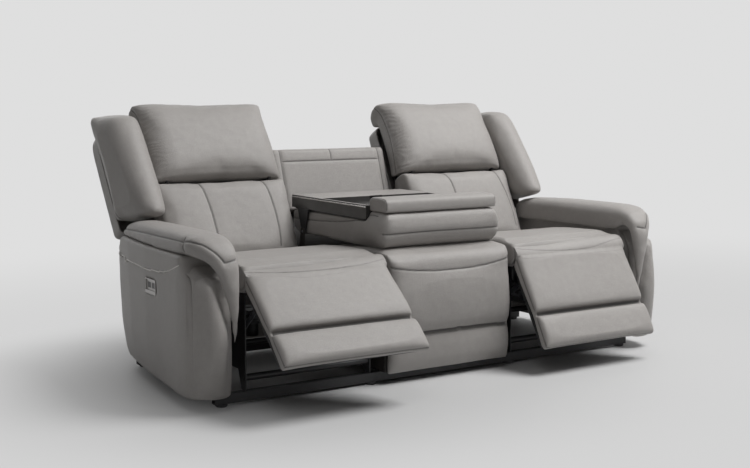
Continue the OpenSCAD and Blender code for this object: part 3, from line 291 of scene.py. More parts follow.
class Cover:
    """One sewn cover while it is shaped: its points in mm and its faces."""

    def __init__(self, points, faces):
        self.points, self.faces = points, faces
        self.seam = np.zeros(len(points))
        self.stitches, self.pipings = [], []
        self.facing = self.surface = None

    def normals(self, fresh=True):
        if fresh or self.facing is None:
            mesh = bpy.data.meshes.new("normals")
            mesh.from_pydata(self.points.tolist(), [], self.faces)
            out = np.empty(len(self.points) * 3)
            mesh.vertex_normals.foreach_get("vector", out)
            bpy.data.meshes.remove(mesh)
            self.facing = out.reshape(-1, 3)
        return self.facing

    def tree(self, fresh=True):
        if fresh or self.surface is None:
            self.surface = BVHTree.FromPolygons(self.points.tolist(), self.faces)
        return self.surface

    def turned_out(self, index, way):
        """Its faces turned over if they face inwards, judged at one point that should face way."""
        if self.normals()[index] @ np.array(way, float) < 0:
            self.faces = [f[::-1] for f in self.faces]
        return self

    def for_side(self, side):
        """A copy for this side; the cover itself is shaped for the left."""
        if side == "left":
            return Cover(self.points * 1, list(self.faces))
        return Cover(self.points * (-1, 1, 1), [f[::-1] for f in self.faces])


def fade(values, start, end):
    """0 up to start and 1 from end on, straight in between."""
    return np.clip((values - start) / (end - start), 0, 1)


def polar(centre, radius, angle):
    """A point round a centre, in Y and Z."""
    return centre[0] + radius * math.cos(angle), centre[1] + radius * math.sin(angle)


def arc(centre, radius, degrees):
    """Points of an outline round a centre."""
    return [polar(centre, radius, math.radians(a)) for a in degrees]


def tube_faces(count, rings, start=0):
    """Faces of a closed tube: so many points to each of its rings, both ends capped."""
    faces = [[start + i * count + k, start + i * count + (k + 1) % count,
              start + (i + 1) * count + (k + 1) % count, start + (i + 1) * count + k]
             for i in range(rings - 1) for k in range(count)]
    last = start + (rings - 1) * count
    return faces + [list(range(start, start + count))[::-1], list(range(last, last + count))]


def read_mesh(mesh):
    points = np.empty(len(mesh.vertices) * 3)
    mesh.vertices.foreach_get("co", points)
    return points.reshape(-1, 3), [list(p.vertices) for p in mesh.polygons]


def to_drawing(points):
    return points / MM - (0, SOFA_SHIFT, 0)


def settled(obj, *modifiers):
    """The mesh of obj after these modifiers, each given as (type, {setting: value})."""
    for kind, settings in modifiers:
        modifier = obj.modifiers.new(kind.lower(), kind)
        for key, value in settings.items():
            setattr(modifier, key, value)
    bpy.context.view_layer.update()
    mesh = bpy.data.meshes.new_from_object(obj.evaluated_get(bpy.context.evaluated_depsgraph_get()))
    obj.modifiers.clear()
    return mesh


def foam_of(*nodes):
    """The foam of these nodes, as points in mm and faces."""
    points, faces = [], []
    for node in nodes:
        p, f = read_mesh(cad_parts[node].data)
        faces += [[i + len(points) for i in face] for face in f]
        points += to_drawing(p).tolist()
    return points, faces


def softened(outline, tight=16, most=90):
    """A closed outline with its corners turned into curves, slack ones longer than sharp ones."""
    out, count = [], len(outline)
    for i in range(count):
        p = np.array(outline[i], float)
        ends = [np.array(outline[i - 1], float) - p, np.array(outline[(i + 1) % count], float) - p]
        sizes = [max(np.linalg.norm(e), 1e-6) for e in ends]
        bend = math.degrees(math.acos(np.clip(-(ends[0] @ ends[1]) / (sizes[0] * sizes[1]), -1, 1)))
        a, b = (p + e * min(0.5, (most if bend < 35 else tight) / size) for e, size in zip(ends, sizes))
        for t in np.linspace(0.06, 0.94, 6):
            out.append(tuple(a * (1 - t) ** 2 + 2 * p * t * (1 - t) + b * t * t))
    return out


def foam_block(outline, x_from, x_to):
    """Foam cut to one outline right across."""
    placed = list(outline)
    if sum(a[0] * b[1] - b[0] * a[1] for a, b in zip(placed, placed[1:] + placed[:1])) < 0:
        placed.reverse()
    return [(x, y, z) for x in (x_from, x_to) for y, z in placed], tube_faces(len(placed), 2)


def crowned(cover, back, roll, crown, share=0.45, up=False, joins=(), bow=2.4, rise=0.6):
    """The face falls away over its sides within roll and swells by crown between its joins.
    back is the plane of the board behind it."""
    axis, other, sign = (2, 1, 1) if up else (1, 2, -1)
    x, v = cover.points[:, 0], cover.points[:, other]
    depth = (cover.points[:, axis] - back) * sign
    low, high = x.min(), x.max()
    near = np.clip(1 - np.minimum(x - low, high - x) / roll, 0, 1)
    fall = share + (1 - share) * (1 - near ** bow) ** (1 / bow)
    middle = 1 - np.abs((x - (low + high) / 2) / ((high - low) / 2)) ** 2.6
    joins = joins or (v.min(), v.max())
    hump = np.zeros(len(v))
    for a, b in zip(joins[:-1], joins[1:]):
        inside = (v >= a) & (v <= b)
        hump[inside] = np.sin(math.pi * (v[inside] - a) / (b - a)) ** rise
    swell = crown * middle * hump * np.clip(depth / depth.max(), 0, 1)
    cover.points[:, axis] = back + sign * (np.where(depth > 0, depth * fall, depth) + swell)
    return cover


def swung(cover, centre, degrees):
    """A cover shaped upright about its hinge, put in place turned by degrees."""
    c, k = math.cos(math.radians(degrees)), math.sin(math.radians(degrees))

    def turn(points):
        n, s = points[:, 1].copy(), points[:, 2].copy()
        return np.stack([points[:, 0], centre[0] + n * c + s * k, centre[1] - n * k + s * c], axis=1)

    cover.points = turn(cover.points)
    for rows in (cover.stitches, cover.pipings):
        rows[:] = [(turn(np.array(line, float)).tolist(), size) for line, size in rows]
    return cover


def cut_cover(foam, cell, rounding, inset):
    """Leather drawn over foam: one closed form, its corners rounded."""
    points, faces = foam
    obj = new_object("cover", [drawn(*p) for p in points], faces)
    form = settled(obj, ("WELD", {"merge_threshold": 0.00005}),
                   ("REMESH", {"mode": "VOXEL", "voxel_size": cell * MM}),
                   ("SMOOTH", {"factor": 0.5, "iterations": rounding}))
    bpy.data.objects.remove(obj)
    p, f = read_mesh(form)
    cover = Cover(to_drawing(p), f)
    if inset:
        cover.points -= cover.normals() * inset
    return cover


def evened(cover, move, rounds):
    """The move shared out among each point's neighbours, so that no crumple stays."""
    edges = {(min(a, b), max(a, b)) for f in cover.faces for a, b in zip(f, f[1:] + f[:1])}
    i, j = np.array(sorted(edges)).T
    size = len(move)
    count = np.maximum(np.bincount(np.r_[i, j], minlength=size), 1)
    for _ in range(rounds):
        for k in range(3):
            total = np.bincount(i, move[j, k], size) + np.bincount(j, move[i, k], size)
            move[:, k] = 0.5 * move[:, k] + 0.5 * total / count
    return move


def eased(cover, rounds, share=1.0):
    """Facets and steps smoothed away, by share at each point."""
    smooth = evened(cover, cover.points.copy(), rounds)
    cover.points += (smooth - cover.points) * np.reshape(share, (-1, 1))
    return cover


def plump(cover, pressure, cap, stiffness=2.5, frames=20):
    """Foam pressing out under the leather, as cloth with air pressure and no weight."""
    obj = new_object("plump", (cover.points * MM).tolist(), cover.faces)
    cloth = obj.modifiers.new("cloth", "CLOTH")
    for key, value in {"quality": 5, "mass": 0.35, "tension_stiffness": stiffness,
                       "compression_stiffness": stiffness, "shear_stiffness": stiffness,
                       "bending_stiffness": 6, "use_pressure": True,
                       "uniform_pressure_force": pressure}.items():
        setattr(cloth.settings, key, value)
    cloth.settings.effector_weights.gravity = 0
    cloth.collision_settings.use_collision = False
    cloth.point_cache.frame_start, cloth.point_cache.frame_end = 1, frames
    for number in range(1, frames + 1):
        scene.frame_set(number)
    p, _ = read_mesh(bpy.data.meshes.new_from_object(
        obj.evaluated_get(bpy.context.evaluated_depsgraph_get())))
    bpy.data.objects.remove(obj)
    scene.frame_set(1)
    move = p / MM - cover.points
    move -= move.mean(axis=0)
    length = np.linalg.norm(move, axis=1, keepdims=True)
    move *= np.minimum(1, cap / np.maximum(length, 1e-6))
    cover.points = cover.points + evened(cover, move, 22)
    return cover


FREE = 9999  # no limit this way


def held_by(cover, foam, proud, low=-FREE, high=FREE):
    """Nothing stands more than proud outside this foam, nor past low, high."""
    core = BVHTree.FromPolygons(*foam)
    for i, point in enumerate(cover.points):
        spot, normal, _, gap = core.find_nearest(Vector(point))
        out = (Vector(point) - spot).dot(normal)
        if out > proud:
            cover.points[i] = np.array(spot + (Vector(point) - spot) * (proud / out))
    cover.points = np.clip(cover.points, low, high)
    return cover


def refined(cover):
    """The cover with each face cut in four and rounded."""
    obj = new_object("refined", cover.points.tolist(), cover.faces)
    finer = settled(obj, ("SUBSURF", {"levels": 1, "render_levels": 1}))
    bpy.data.objects.remove(obj)
    p, f = read_mesh(finer)
    return Cover(p, f)


def along(points, step=4.0):
    """The same line with its corners softened and points every step mm."""
    line = np.array(points, float)
    for _ in range(3):
        if len(line) > 2:
            cut = [line[0]]
            for a, b in zip(line[:-1], line[1:]):
                cut += [a * 0.75 + b * 0.25, a * 0.25 + b * 0.75]
            line = np.array(cut + [line[-1]])
    lengths = np.r_[0, np.cumsum(np.linalg.norm(np.diff(line, axis=0), axis=1))]
    count = max(2, int(lengths[-1] / step))
    at = np.linspace(0, lengths[-1], count)
    return np.stack([np.interp(at, lengths, line[:, k]) for k in range(3)], axis=1)


def distance_to(points, line, reach):
    """Distance from each point to a line of close points, inf beyond reach."""
    out = np.full(len(points), np.inf)
    inside = np.all((points > line.min(axis=0) - reach) & (points < line.max(axis=0) + reach), axis=1)
    near = np.nonzero(inside)[0]
    p = points[near]
    best = np.full(len(p), np.inf)
    for a, b in zip(line[:-1], line[1:]):
        ab = b - a
        t = np.clip(((p - a) @ ab) / max(ab @ ab, 1e-9), 0, 1)
        best = np.minimum(best, np.linalg.norm(p - a - t[:, None] * ab, axis=1))
    out[near] = best
    return out


def laid_on(cover, points, step=4.0):
    """A drawn line laid onto the cover."""
    surface = cover.tree(fresh=False)
    return np.array([surface.find_nearest(Vector(p))[0] for p in along(points, step)])


def sew(cover, points, deep=2.2, wide=4.0, roll=0.0, roll_wide=26.0, stitch=(4.5,), dark=0.9, ink=2.2,
        piping=0):
    """Pulls a seam into the cover, raises the foam beside it, paints shade along its groove, and lays its
    stitches.
    """
    line = laid_on(cover, points)
    normals = cover.normals(fresh=False)
    gap = distance_to(cover.points, line, roll_wide * 2.5)
    pull = deep * np.exp(-(gap / wide) ** 2)
    if roll:
        pull += roll * np.exp(-(gap / roll_wide) ** 2)
    cover.points -= normals * np.nan_to_num(pull)[:, None]
    # painted shade along the groove, as strong as dark and fading out across it
    cover.seam = np.maximum(cover.seam, dark * np.exp(-(gap / ink) ** 2))
    for offset in stitch:
        cover.stitches.append((points, offset))
    if piping:
        cover.pipings.append((points, piping))
    return cover


HASH = (73856093, 19349663, 83492791)


def noise(points, size, seed):
    """Smooth value noise from -1 to 1, with features of about size mm."""
    q = points / size + seed * 17.31
    cell = np.floor(q).astype(np.int64)
    part = q - cell
    part = part * part * (3 - 2 * part)
    total = np.zeros(len(points))
    for step in itertools.product((0, 1), repeat=3):
        h = np.bitwise_xor.reduce((cell + step) * HASH, axis=1)
        h = (h ^ (h >> 13)) * 1274126177
        value = ((h ^ (h >> 16)) & 0xFFFF) / 32767.5 - 1
        total += value * np.prod(np.where(step, part, 1 - part), axis=1)
    return total


def relaxed(cover, seed, swell=1.2, ripple=0.5):
    """Slack in the leather: broad soft swells with finer ripples on top."""
    move = swell * noise(cover.points, 140, seed) + ripple * noise(cover.points, 34, seed + 3)
    cover.points += cover.normals() * move[:, None]
    return cover


def piping_mesh(cover, points, radius):
    """A corded welt laid along a seam, half sunk in it, its ends closed."""
    line = laid_on(cover, points, 5)
    verts, last = [], len(line) - 1
    for i, spot in enumerate(line):
        way = Vector(line[min(i + 1, last)] - line[max(i - 1, 0)]).normalized()
        normal = cover.surface.find_nearest(Vector(spot))[1]
        across = normal.cross(way).normalized()
        size = radius * (0.4 if i in (0, last) else 1)
        for k in range(8):
            turn = k * math.tau / 8
            verts.append(Vector(spot) + (across * math.cos(turn) + normal * math.sin(turn)) * size
                         + normal * radius * 0.25)
    return verts, tube_faces(8, len(line))


def stitch_mesh(cover, points, offset):
    """Stitches beside a seam: short rods sunk a little in the leather."""
    surface = cover.surface
    line = laid_on(cover, points, STITCH_PITCH)
    verts, faces = [], []
    for a, b in zip(line[:-1], line[1:]):
        way = Vector(b - a)
        if way.length < 1:
            continue
        way.normalize()
        spot, normal, _, _ = surface.find_nearest(Vector((a + b) / 2))
        across = normal.cross(way).normalized()
        spot, normal, _, _ = surface.find_nearest(spot + across * offset)
        across = normal.cross(way).normalized()
        start = len(verts)
        for along_way, size in ((-1, 0.35), (-0.6, 1), (0.6, 1), (1, 0.35)):
            for k in range(6):
                turn = k * math.tau / 6
                rim = across * math.cos(turn) + normal * math.sin(turn)
                sink = normal * (0.1 if size == 1 else -0.25)
                verts.append(spot + way * (STITCH_LENGTH / 2 * along_way)
                             + rim * (STITCH_RADIUS * size) + sink)
        faces += tube_faces(6, 4, start)
    return verts, faces


def make_piece(name, cover, body, nodes, material=None, sewn=None,
               bend=None):
    """The finished cover as one piece, with its stitches, on its body. bend is where it would turn
    from the base to that body, as two (y, z) points; its points are not used, and a piece
    given a bend stays where it lies, on no body."""
    points, faces = cover.points.tolist(), list(cover.faces)
    shell_faces, seam = len(faces), cover.seam.tolist()
    cover.tree()
    rows = [stitch_mesh(cover, line, offset) for line, offset in cover.stitches]
    rows += [piping_mesh(cover, line, radius) for line, radius in cover.pipings]
    for v, f in rows:
        faces += [[i + len(points) for i in face] for face in f]
        points += [tuple(p) for p in v]
        seam += [0.0] * len(v)
    obj = new_object(name, [drawn(*p) for p in points], faces)
    mesh = obj.data
    mesh.materials.append(material or seat_leather)
    mesh.materials.append(sewn or thread)
    mesh.polygons.foreach_set("material_index", [int(i >= shell_faces) for i in range(len(faces))])
    mesh.polygons.foreach_set("use_smooth", [True] * len(faces))
    # the painted seam and crease shade, read by the leather's colour
    values = mesh.attributes.new("seam", "FLOAT", "POINT")
    values.data.foreach_set("value", seam)
    mesh.update()
    if bend:
        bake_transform(obj)
    else:
        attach(obj, body)
    if nodes:
        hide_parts(*nodes)


YOKE_SEAM = [
    (-1090, 385, 470), (-1100, 276, 460), (-1100, 58, 456), (-1100, -125, 461), (-1100, -248, 469),
    (-1100, -327, 485), (-1098, -400, 512)]
PAD_SIDE_SEAM = [
    (-1020, 330, 560), (-1060, 150, 578), (-1074, -30, 587), (-1078, -237, 591), (-1078, -388, 592)]
PAD_CROSS_SEAM = [(-1060, -386, 600), (-1086, -400, 576), (-1092, -410, 552)]
PAD_FALL_SEAM = [
    (-1078, -388, 592), (-1057, -453, 592), (-1032, -492, 580), (-1008, -518, 558), (-985, -537, 528)]
PAD_FALL_CROSS = [(-985, -537, 528), (-968, -538, 531), (-940, -536, 538)]
BULGE = 15  # how far the front panel swells under the pad
INNER_LIP = 42  # how far the pad's inner edge is drawn down beside the seat
WING_ROOM = 5  # the pad's rear end lies lower by this, under the wing

arm_panel = relaxed(refined(cut_cover(foam_of("left_arm_box"), 11, 3, 0.6)), 1, 0.9, 0.25)
arm_bulge = eased(cut_cover(foam_of("left_arm_front"), 7, 8, 0), 26)
x, y, z = arm_bulge.points.T
y -= BULGE * np.clip(1 - np.abs(z - 482) / 82, 0, 1) * (y < -470)
arm_bulge = relaxed(refined(plump(arm_bulge, 2, 5)), 2, 0.8, 0.2)
arm_top = cut_cover(foam_of("left_arm_pad"), 7, 8, 0)
x, y, z = arm_top.points.T
z -= INNER_LIP * fade(x, -945, -915) * fade(z, 572, 552) * fade(y, 310, 250) * fade(y, -470, -410)
arm_top = refined(plump(eased(arm_top, 9), 2.5, 7))
x, y, z = arm_top.points.T
z -= WING_ROOM * fade(y, 190, 250) * fade(z, 560, 580)
for flip, side in enumerate(SIDES):
    panel = arm_panel.for_side(side)
    sew(panel, both(YOKE_SEAM, side), 1.4, 3.4, 1, 14, (), 0, piping=2.5)
    make_piece(f"{side}_arm_panel", panel, "base", [f"{side}_arm_box"], sewn=pale_thread)
    make_piece(f"{side}_arm_bulge", arm_bulge.for_side(side), "base", [f"{side}_arm_front"])
    top = relaxed(arm_top.for_side(side), 5 + flip, 1.2, 0.4)
    for line, rows in zip((PAD_SIDE_SEAM, PAD_CROSS_SEAM, PAD_FALL_SEAM, PAD_FALL_CROSS),
                          ((4.5,), (), (4.5,), ())):
        sew(top, both(line, side), 2.8, 3.6, 1.6, 14, rows, ink=2.8)
    make_piece(f"{side}_arm_top", top, "base", [f"{side}_arm_pad"])

# --- Control plates and keys ---
# Satin anodised bezel set in the outer arm panel, with two rocking keys of dark polymer and
# a round port beside them. Snapped into a cut-out, wired under the arm panel.
satin_metal = metal("satin_anodised_metal", (0.34, 0.33, 0.32), 0.34, 0.75, 0.04, 0.08, 2200)
key_black = metal("key_polymer", (0.045, 0.044, 0.043), 0.42, 0.0, 0.04, 0.15, 2600)
finish_nodes(satin_metal, "_control_plate")
finish_nodes(key_black, "_recline_key", "_headrest_key")

# --- Seat cushions ---
# Pocket springs under foam and fibre, in a leather cover with a waterfall nose, to which the
# leg rest's strip is sewn. The cover is pulled down to the deck at its sides and back.
SEAT_TUCK = 0.5
NOSE_R = 45.0
SEAT_RISE = 0.0035  # how the seat's top rises behind its nose
HINGE_Y, HINGE_Z = LEG_HINGE = (-449, 454)
SEAT_SIDES = (-897, -304)
SEAT_OUTLINE = [
    (-427, 405), (-400, 400), (136, 400), (136, 428), (128, 446), (100, 458), (6, 477), (-164, 498),
    (-369, 505), (-419, 501)] + arc(LEG_HINGE, NOSE_R, range(94, 271, 11))
seat_foam = foam_block(softened(SEAT_OUTLINE), *SEAT_SIDES)
seat_form = refined(plump(crowned(cut_cover(seat_foam, 8, 5, 1), 400, 30, 7, 0.84, up=True), 3, 18))
held_by(seat_form, seat_foam, 9, (SEAT_SIDES[0] + SEAT_TUCK, -FREE, 399.5),
        (SEAT_SIDES[1] - SEAT_TUCK, 135, FREE))
for flip, side in enumerate(SIDES):
    seat = relaxed(seat_form.for_side(side), 11 + flip, 1.8, 0.5)
    x, y, z = seat.points.T
    reach = np.hypot(y - HINGE_Y, z - HINGE_Z)
    over = np.where(y < HINGE_Y + 10, np.minimum(1, NOSE_R / np.maximum(reach, 1)), 1)
    y[:] = HINGE_Y + (y - HINGE_Y) * over
    z[:] = HINGE_Z + (z - HINGE_Z) * over
    back_from = y - HINGE_Y
    flush = HINGE_Z + NOSE_R + SEAT_RISE * back_from ** 2
    z[:] = np.where((back_from > 0) & (back_from < 60), np.minimum(z, flush), z)
    make_piece(f"{side}_seat", seat, "base", [f"{side}_seat_cushion"])

# --- Leg rest pads ---
# Foam over a plywood board, covered in leather with one deep crease a third of the way up,
# and stapled behind. The board rides on the leg rest brackets. A sewn strip of leather
# runs from the seat over the nose and down on the pad.
LEG_OPEN = {"left": 49, "right": 31}
CREASE_AT = -277
PAD_MEET = 0.54  # how far round from the pad's own direction the strip comes down on it
STRIP_LIFT, STRIP_THICK = 1.4, 3.2
PAD_LIFT = (1.5, 0.4)  # how far the strip stands over the pad, where they meet and at its foot
TUCKED = (3.0, 4.2)  # how deep its top and foot edges are turned in
PAD_OUTLINE = [(-7.5, -410), (-7.5, -50)] + arc((0, 0), 47, range(256, 199, -8))
PAD_OUTLINE += [
    (-52, -20), (-50, -50), (-49, -90), (-50, -187), (-48, -255), (-42, -268), (-26, -276), (-26, -279),
    (-42, -286), (-48, -300), (-50, -350), (-50, -408), (-45, -419), (-36, -424), (-18, -424)]
pad_foam = foam_block(softened(PAD_OUTLINE, 12, 60), *SEAT_SIDES)
leg_form = cut_cover(pad_foam, 7, 4, 0.5)
crowned(leg_form, -7.5, 26, 7, 0.6, joins=(-424, CREASE_AT, 0))
leg_form = refined(plump(leg_form, 2.5, 6))
held_by(leg_form, pad_foam, 8, (SEAT_SIDES[0] + 0.3, -FREE, -FREE), (SEAT_SIDES[1] - 0.3, FREE, FREE))
STRIP_TOP = {
    "left": [(-895, -480, 486), (-823, -481, 486), (-666, -481, 486), (-538, -475, 491), (-435, -459, 499),
        (-380, -447, 501), (-306, -436, 500)],
    "right": [(306, -476, 490), (342, -480, 487), (473, -481, 486), (589, -473, 492), (707, -458, 499),
        (780, -447, 501), (895, -440, 500)]}
STRIP_FOOT = {
    "left": [(-895, -486, 478), (-816, -500, 471), (-684, -512, 461), (-518, -509, 464), (-382, -496, 473),
        (-306, -482, 482)],
    "right": [(306, -484, 479), (335, -489, 474), (457, -500, 461), (588, -504, 455), (701, -501, 458),
        (794, -492, 471), (895, -480, 482)]}


def meeting(side):
    """Where the strip meets the pad, as an angle about the hinge."""
    return math.pi + PAD_MEET - math.radians(LEG_OPEN[side])


def nose_strip(side, pad):
    """The sewn leather strip over the nose: flush on the seat, then over the leg pad's top."""
    spans, turns = 100, 20
    xs = np.linspace(STRIP_TOP[side][0][0] + 2, STRIP_TOP[side][-1][0] - 2, spans)
    surface, meet, ends = pad.tree(), meeting(side), []
    for line in (STRIP_TOP[side], STRIP_FOOT[side]):
        x, y, z = np.array(line, float).T
        ends.append(np.arctan2(np.interp(xs, x, z) - HINGE_Z, np.interp(xs, x, y) - HINGE_Y) % math.tau)
    ends[1] = np.maximum(ends[1] + 0.12, meet + 0.16)

    def on_pad(x, angle):
        """How far from the hinge the pad's face lies that way, beside x."""
        way = Vector((0, math.cos(angle), math.sin(angle)))
        edge = min(max(x, pad.points[:, 0].min() + 4), pad.points[:, 0].max() - 4)
        spot = surface.ray_cast(Vector((edge, *LEG_HINGE)) + way * 110, -way, 106 - NOSE_R)[0]
        return 55.0 if spot is None else math.hypot(spot[1] - HINGE_Y, spot[2] - HINGE_Z)

    met = np.array([on_pad(x, meet) for x in xs]) + PAD_LIFT[0]
    met = np.convolve(np.pad(met, 3, "edge"), np.ones(7) / 7, "valid")
    points = []
    for x, first, last, reach in zip(xs, *ends, met):
        angles = np.r_[np.linspace(first, last, turns - 2), last + 0.008, last + 0.02]
        bare = np.full(turns, NOSE_R)
        for _ in range(3):
            behind = NOSE_R + SEAT_RISE * (bare * np.cos(angles)) ** 2
            bare = np.where(np.cos(angles) > 0, behind / np.sin(angles), NOSE_R)
        bare += STRIP_LIFT
        share = np.clip((angles - first) / (meet - first), 0, 1)
        over = bare + (reach - bare) * share ** 1.5
        for k, angle in enumerate(angles):
            if angle > meet:
                over[k] = on_pad(x, angle) + np.interp(angle, [meet, last], PAD_LIFT)
        over[[0, -1]] -= TUCKED
        for radii, turned in ((over, angles), (over[::-1] - STRIP_THICK, angles[::-1])):
            points += [(x, *polar(LEG_HINGE, r, a)) for r, a in zip(radii, turned)]
    strip = Cover(np.array(points), tube_faces(2 * turns, spans))
    return refined(strip.turned_out(turns // 2 + 80 * turns, (0, -0.7, 0.7)))


for flip, side in enumerate(SIDES):
    pad = relaxed(leg_form.for_side(side), 21 + flip, 1, 0.3)
    crease = [(x, -30, CREASE_AT) for x in (SEAT_SIDES[0] + 16, -600, SEAT_SIDES[1] - 16)]
    sew(pad, both(crease, side), 13, 6.5, 3, 30, (), 0.95, 5)
    for x in SEAT_SIDES:
        sew(pad, both([(x, -34, s) for s in (-40, -200, -412)], side), 1.6, 3, 0, 26, (), ink=2.6)
    sew(pad, both([(SEAT_SIDES[0], -34, -421), (SEAT_SIDES[1], -34, -421)], side), 1.6, 3, 0, 26, (), ink=2.6)
    swung(pad, LEG_HINGE, LEG_OPEN[side])
    make_piece(f"{side}_leg_pad", pad, f"{side}_legrest", [f"{side}_legrest_pad"])
    strip = sew(nose_strip(side, pad), STRIP_FOOT[side], 1.5, 3, 0, 14, (-4,), 0.95, 2.8)
    make_piece(f"{side}_nose_strip", strip, f"{side}_legrest", [],
               bend=((-457, 500), polar(LEG_HINGE, 60, meeting(side))))

# --- Backs: lumbar cushions, wings, outside shells ---
# Fibre filled covers over the steel back frame: a lumbar cushion with two curved upright
# seams, a puffy wing on the outer side, and a foam lined outside shell behind.
LEFT_LUMBAR = [
    [(-712, 330, 752), (-699, 285, 692), (-688, 246, 625), (-684, 211, 559), (-684, 175, 480)],
    [(-427, 330, 752), (-409, 288, 696), (-401, 241, 615), (-400, 200, 534), (-408, 169, 471)]]
RIGHT_LUMBAR = [
    [(510, 330, 752), (530, 302, 721), (543, 280, 684), (548, 240, 610), (548, 200, 534), (545, 175, 480)],
    [(810, 330, 752), (828, 283, 687), (845, 241, 613), (848, 203, 539), (846, 175, 480)]]
WING_REAR_SEAM = [
    (-1010, 500, 900), (-1040, 470, 800), (-1055, 445, 746), (-1050, 400, 680), (-1044, 350, 612),
    (-1030, 330, 575)]
BACK_HINGE, LEANING = (205, 400), 28
ARM_ROOM = 11  # the wing's lower end is lifted by this, clear of the arm pad
BACK_LEAN = math.radians(LEANING)
LUMBAR_OUTLINE = [
    (-26, 26), (-30, -10), (-56, -12), (-64, 0), (-68, 90), (-71, 190), (-69, 290), (-64, 354),
    (-44, 366), (41.6, 366), (41.6, 26)]


def upright(line):
    """A seam drawn on the leant back, as it lies on the back before it leans."""
    c, k = math.cos(BACK_LEAN), math.sin(BACK_LEAN)
    rear, high = BACK_HINGE
    return [(x, (y - rear) * c - (z - high) * k, (y - rear) * k + (z - high) * c) for x, y, z in line]


def leant(cover):
    """The cover shaped upright, put on the back as it leans."""
    return swung(cover, BACK_HINGE, LEANING)


def flanged(cover, low, high):
    """The cover's two ends carried back to the outside shell, past the steel frame."""
    x, n, s = cover.points.T
    edge = np.minimum(x - SEAT_SIDES[0], SEAT_SIDES[1] - x)
    there = (n > 26) & (n < 45) & (s > low) & (s < high)
    cover.points[there, 1] += 18.5 * np.clip(1.4 - edge[there] / 13, 0, 1)
    return cover


lumbar_foam = foam_block(softened(LUMBAR_OUTLINE, 14), *SEAT_SIDES)
back_form = crowned(cut_cover(lumbar_foam, 7, 5, 1), 41.6, 30, 9, 0.92, joins=(-12, 400), bow=2)
back_form = refined(flanged(plump(back_form, 3, 13), 40, 340))
held_by(back_form, lumbar_foam, 19, (SEAT_SIDES[0] + 0.5, -FREE, -FREE), (SEAT_SIDES[1] - 0.5, 60, 366))
wing_form = cut_cover(foam_of("left_wing"), 6, 3, 0.2)
wing_depth = np.array(upright(wing_form.points))[:, 1]
wing_form = eased(wing_form, 45, fade(wing_depth, 44, 10))
wing_form = refined(plump(wing_form, 2.5, 11))
held_by(wing_form, foam_of("left_wing"), 8)
wing_form.points[:, 2] += ARM_ROOM * fade(wing_form.points[:, 2], 650, 575)

SHELL_CENTRE = (-660, 330)
SHELL_OUTLINE = [
    (-304, -10), (-901, -10), (-901, 190), (-1031, 198), (-1053, 590), (-1045, 632), (-1023, 650),
    (-328, 650), (-308, 634), (-304, 610)]
SHELL_SEAM = [
    (-330, 20), (-870, 20), (-878, 214), (-1008, 226), (-1026, 596), (-1010, 622), (-340, 622),
    (-330, 600), (-330, 20)]
SHELL_RIM, SHELL_REAR = 62.5, 140


def shell_cover():
    """The padded tray of the outside back: a thin wall, a rounded rear edge, a full face."""
    outline = np.array(softened(SHELL_OUTLINE, 22, 60))
    outline = np.vstack([outline, outline[:1]])
    lengths = np.r_[0, np.cumsum(np.linalg.norm(np.diff(outline, axis=0), axis=1))]
    at = np.linspace(0, lengths[-1], 461)[:-1]
    ring = np.stack([np.interp(at, lengths, outline[:, k]) for k in (0, 1)], axis=1)
    inner = [(share, SHELL_REAR - 5) for share in np.linspace(0.06, 0.98, 34)]
    inner += [(0.982, 100), (0.982, SHELL_RIM + 2)]
    outer = [(0.986, SHELL_RIM), (0.996, SHELL_RIM), (0.999, SHELL_RIM + 1), (1, SHELL_RIM + 3), (1, 80),
             (1, 100), (1, 112), (1, 118), (0.9995, 123), (0.999, 127), (0.997, 131), (0.994, 134),
             (0.990, 136.8), (0.985, 138.5), (0.979, 139.5), (0.972, 140)]
    outer += [(share, SHELL_REAR + 7 * (1 - share ** 2) ** 0.8 - 0.4)
              for share in np.linspace(0.95, 0.06, 44)]
    centre = np.array(SHELL_CENTRE, float)
    points = [(x, n, s) for share, n in inner + outer for x, s in centre + (ring - centre) * share]
    count, rings = len(ring), len(inner + outer)
    return Cover(np.array(points), tube_faces(count, rings)).turned_out((rings - 8) * count, (0, 1, 0))


shell_form = shell_cover()
for flip, side in enumerate(SIDES):
    lumbar = relaxed(back_form.for_side(side), 31 + flip, 1.8, 0.4)
    for line in RIGHT_LUMBAR if flip else LEFT_LUMBAR:
        sew(lumbar, upright(line), 3.4, 4.2, 3, 26)
    make_piece(f"{side}_lumbar", leant(lumbar), f"{side}_back", [f"{side}_back_cushion"])
    wing = relaxed(wing_form.for_side(side), 41 + flip, 1.2, 0.3)
    sew(wing, both(WING_REAR_SEAM, side), 2, 4, 1, 14)
    make_piece(f"{side}_wing_pad", wing, f"{side}_back", [f"{side}_wing"])
    shell = relaxed(shell_form.for_side(side), 45 + flip, 0.7, 0.25)
    sew(shell, both([(x, SHELL_REAR, s) for x, s in SHELL_SEAM], side), 1.8, 3.4, 0.8, 14, (4.5,), 0.7)
    make_piece(f"{side}_outside_back", leant(shell), f"{side}_back", [f"{side}_back_shell"],
               shell_leather)

# --- Head pillows ---
# Slack fibre pillows in leather, gathered at their outer sides, on a hinged board that a
# second actuator tips forward.
PILLOW_OUTLINE = [
    (41.5, 369), (-44, 366.5), (-58, 364), (-70, 368), (-79, 384), (-84, 412), (-86, 450), (-83, 510),
    (-73, 600), (-55, 685), (-26, 729), (-10, 743), (34, 745), (74, 731), (92, 703), (90, 655),
    (41.5, 655)]
PILLOW_END_SEAM = [(0, 385), (-16, 440), (-16, 600), (0, 690), (24, 730)]


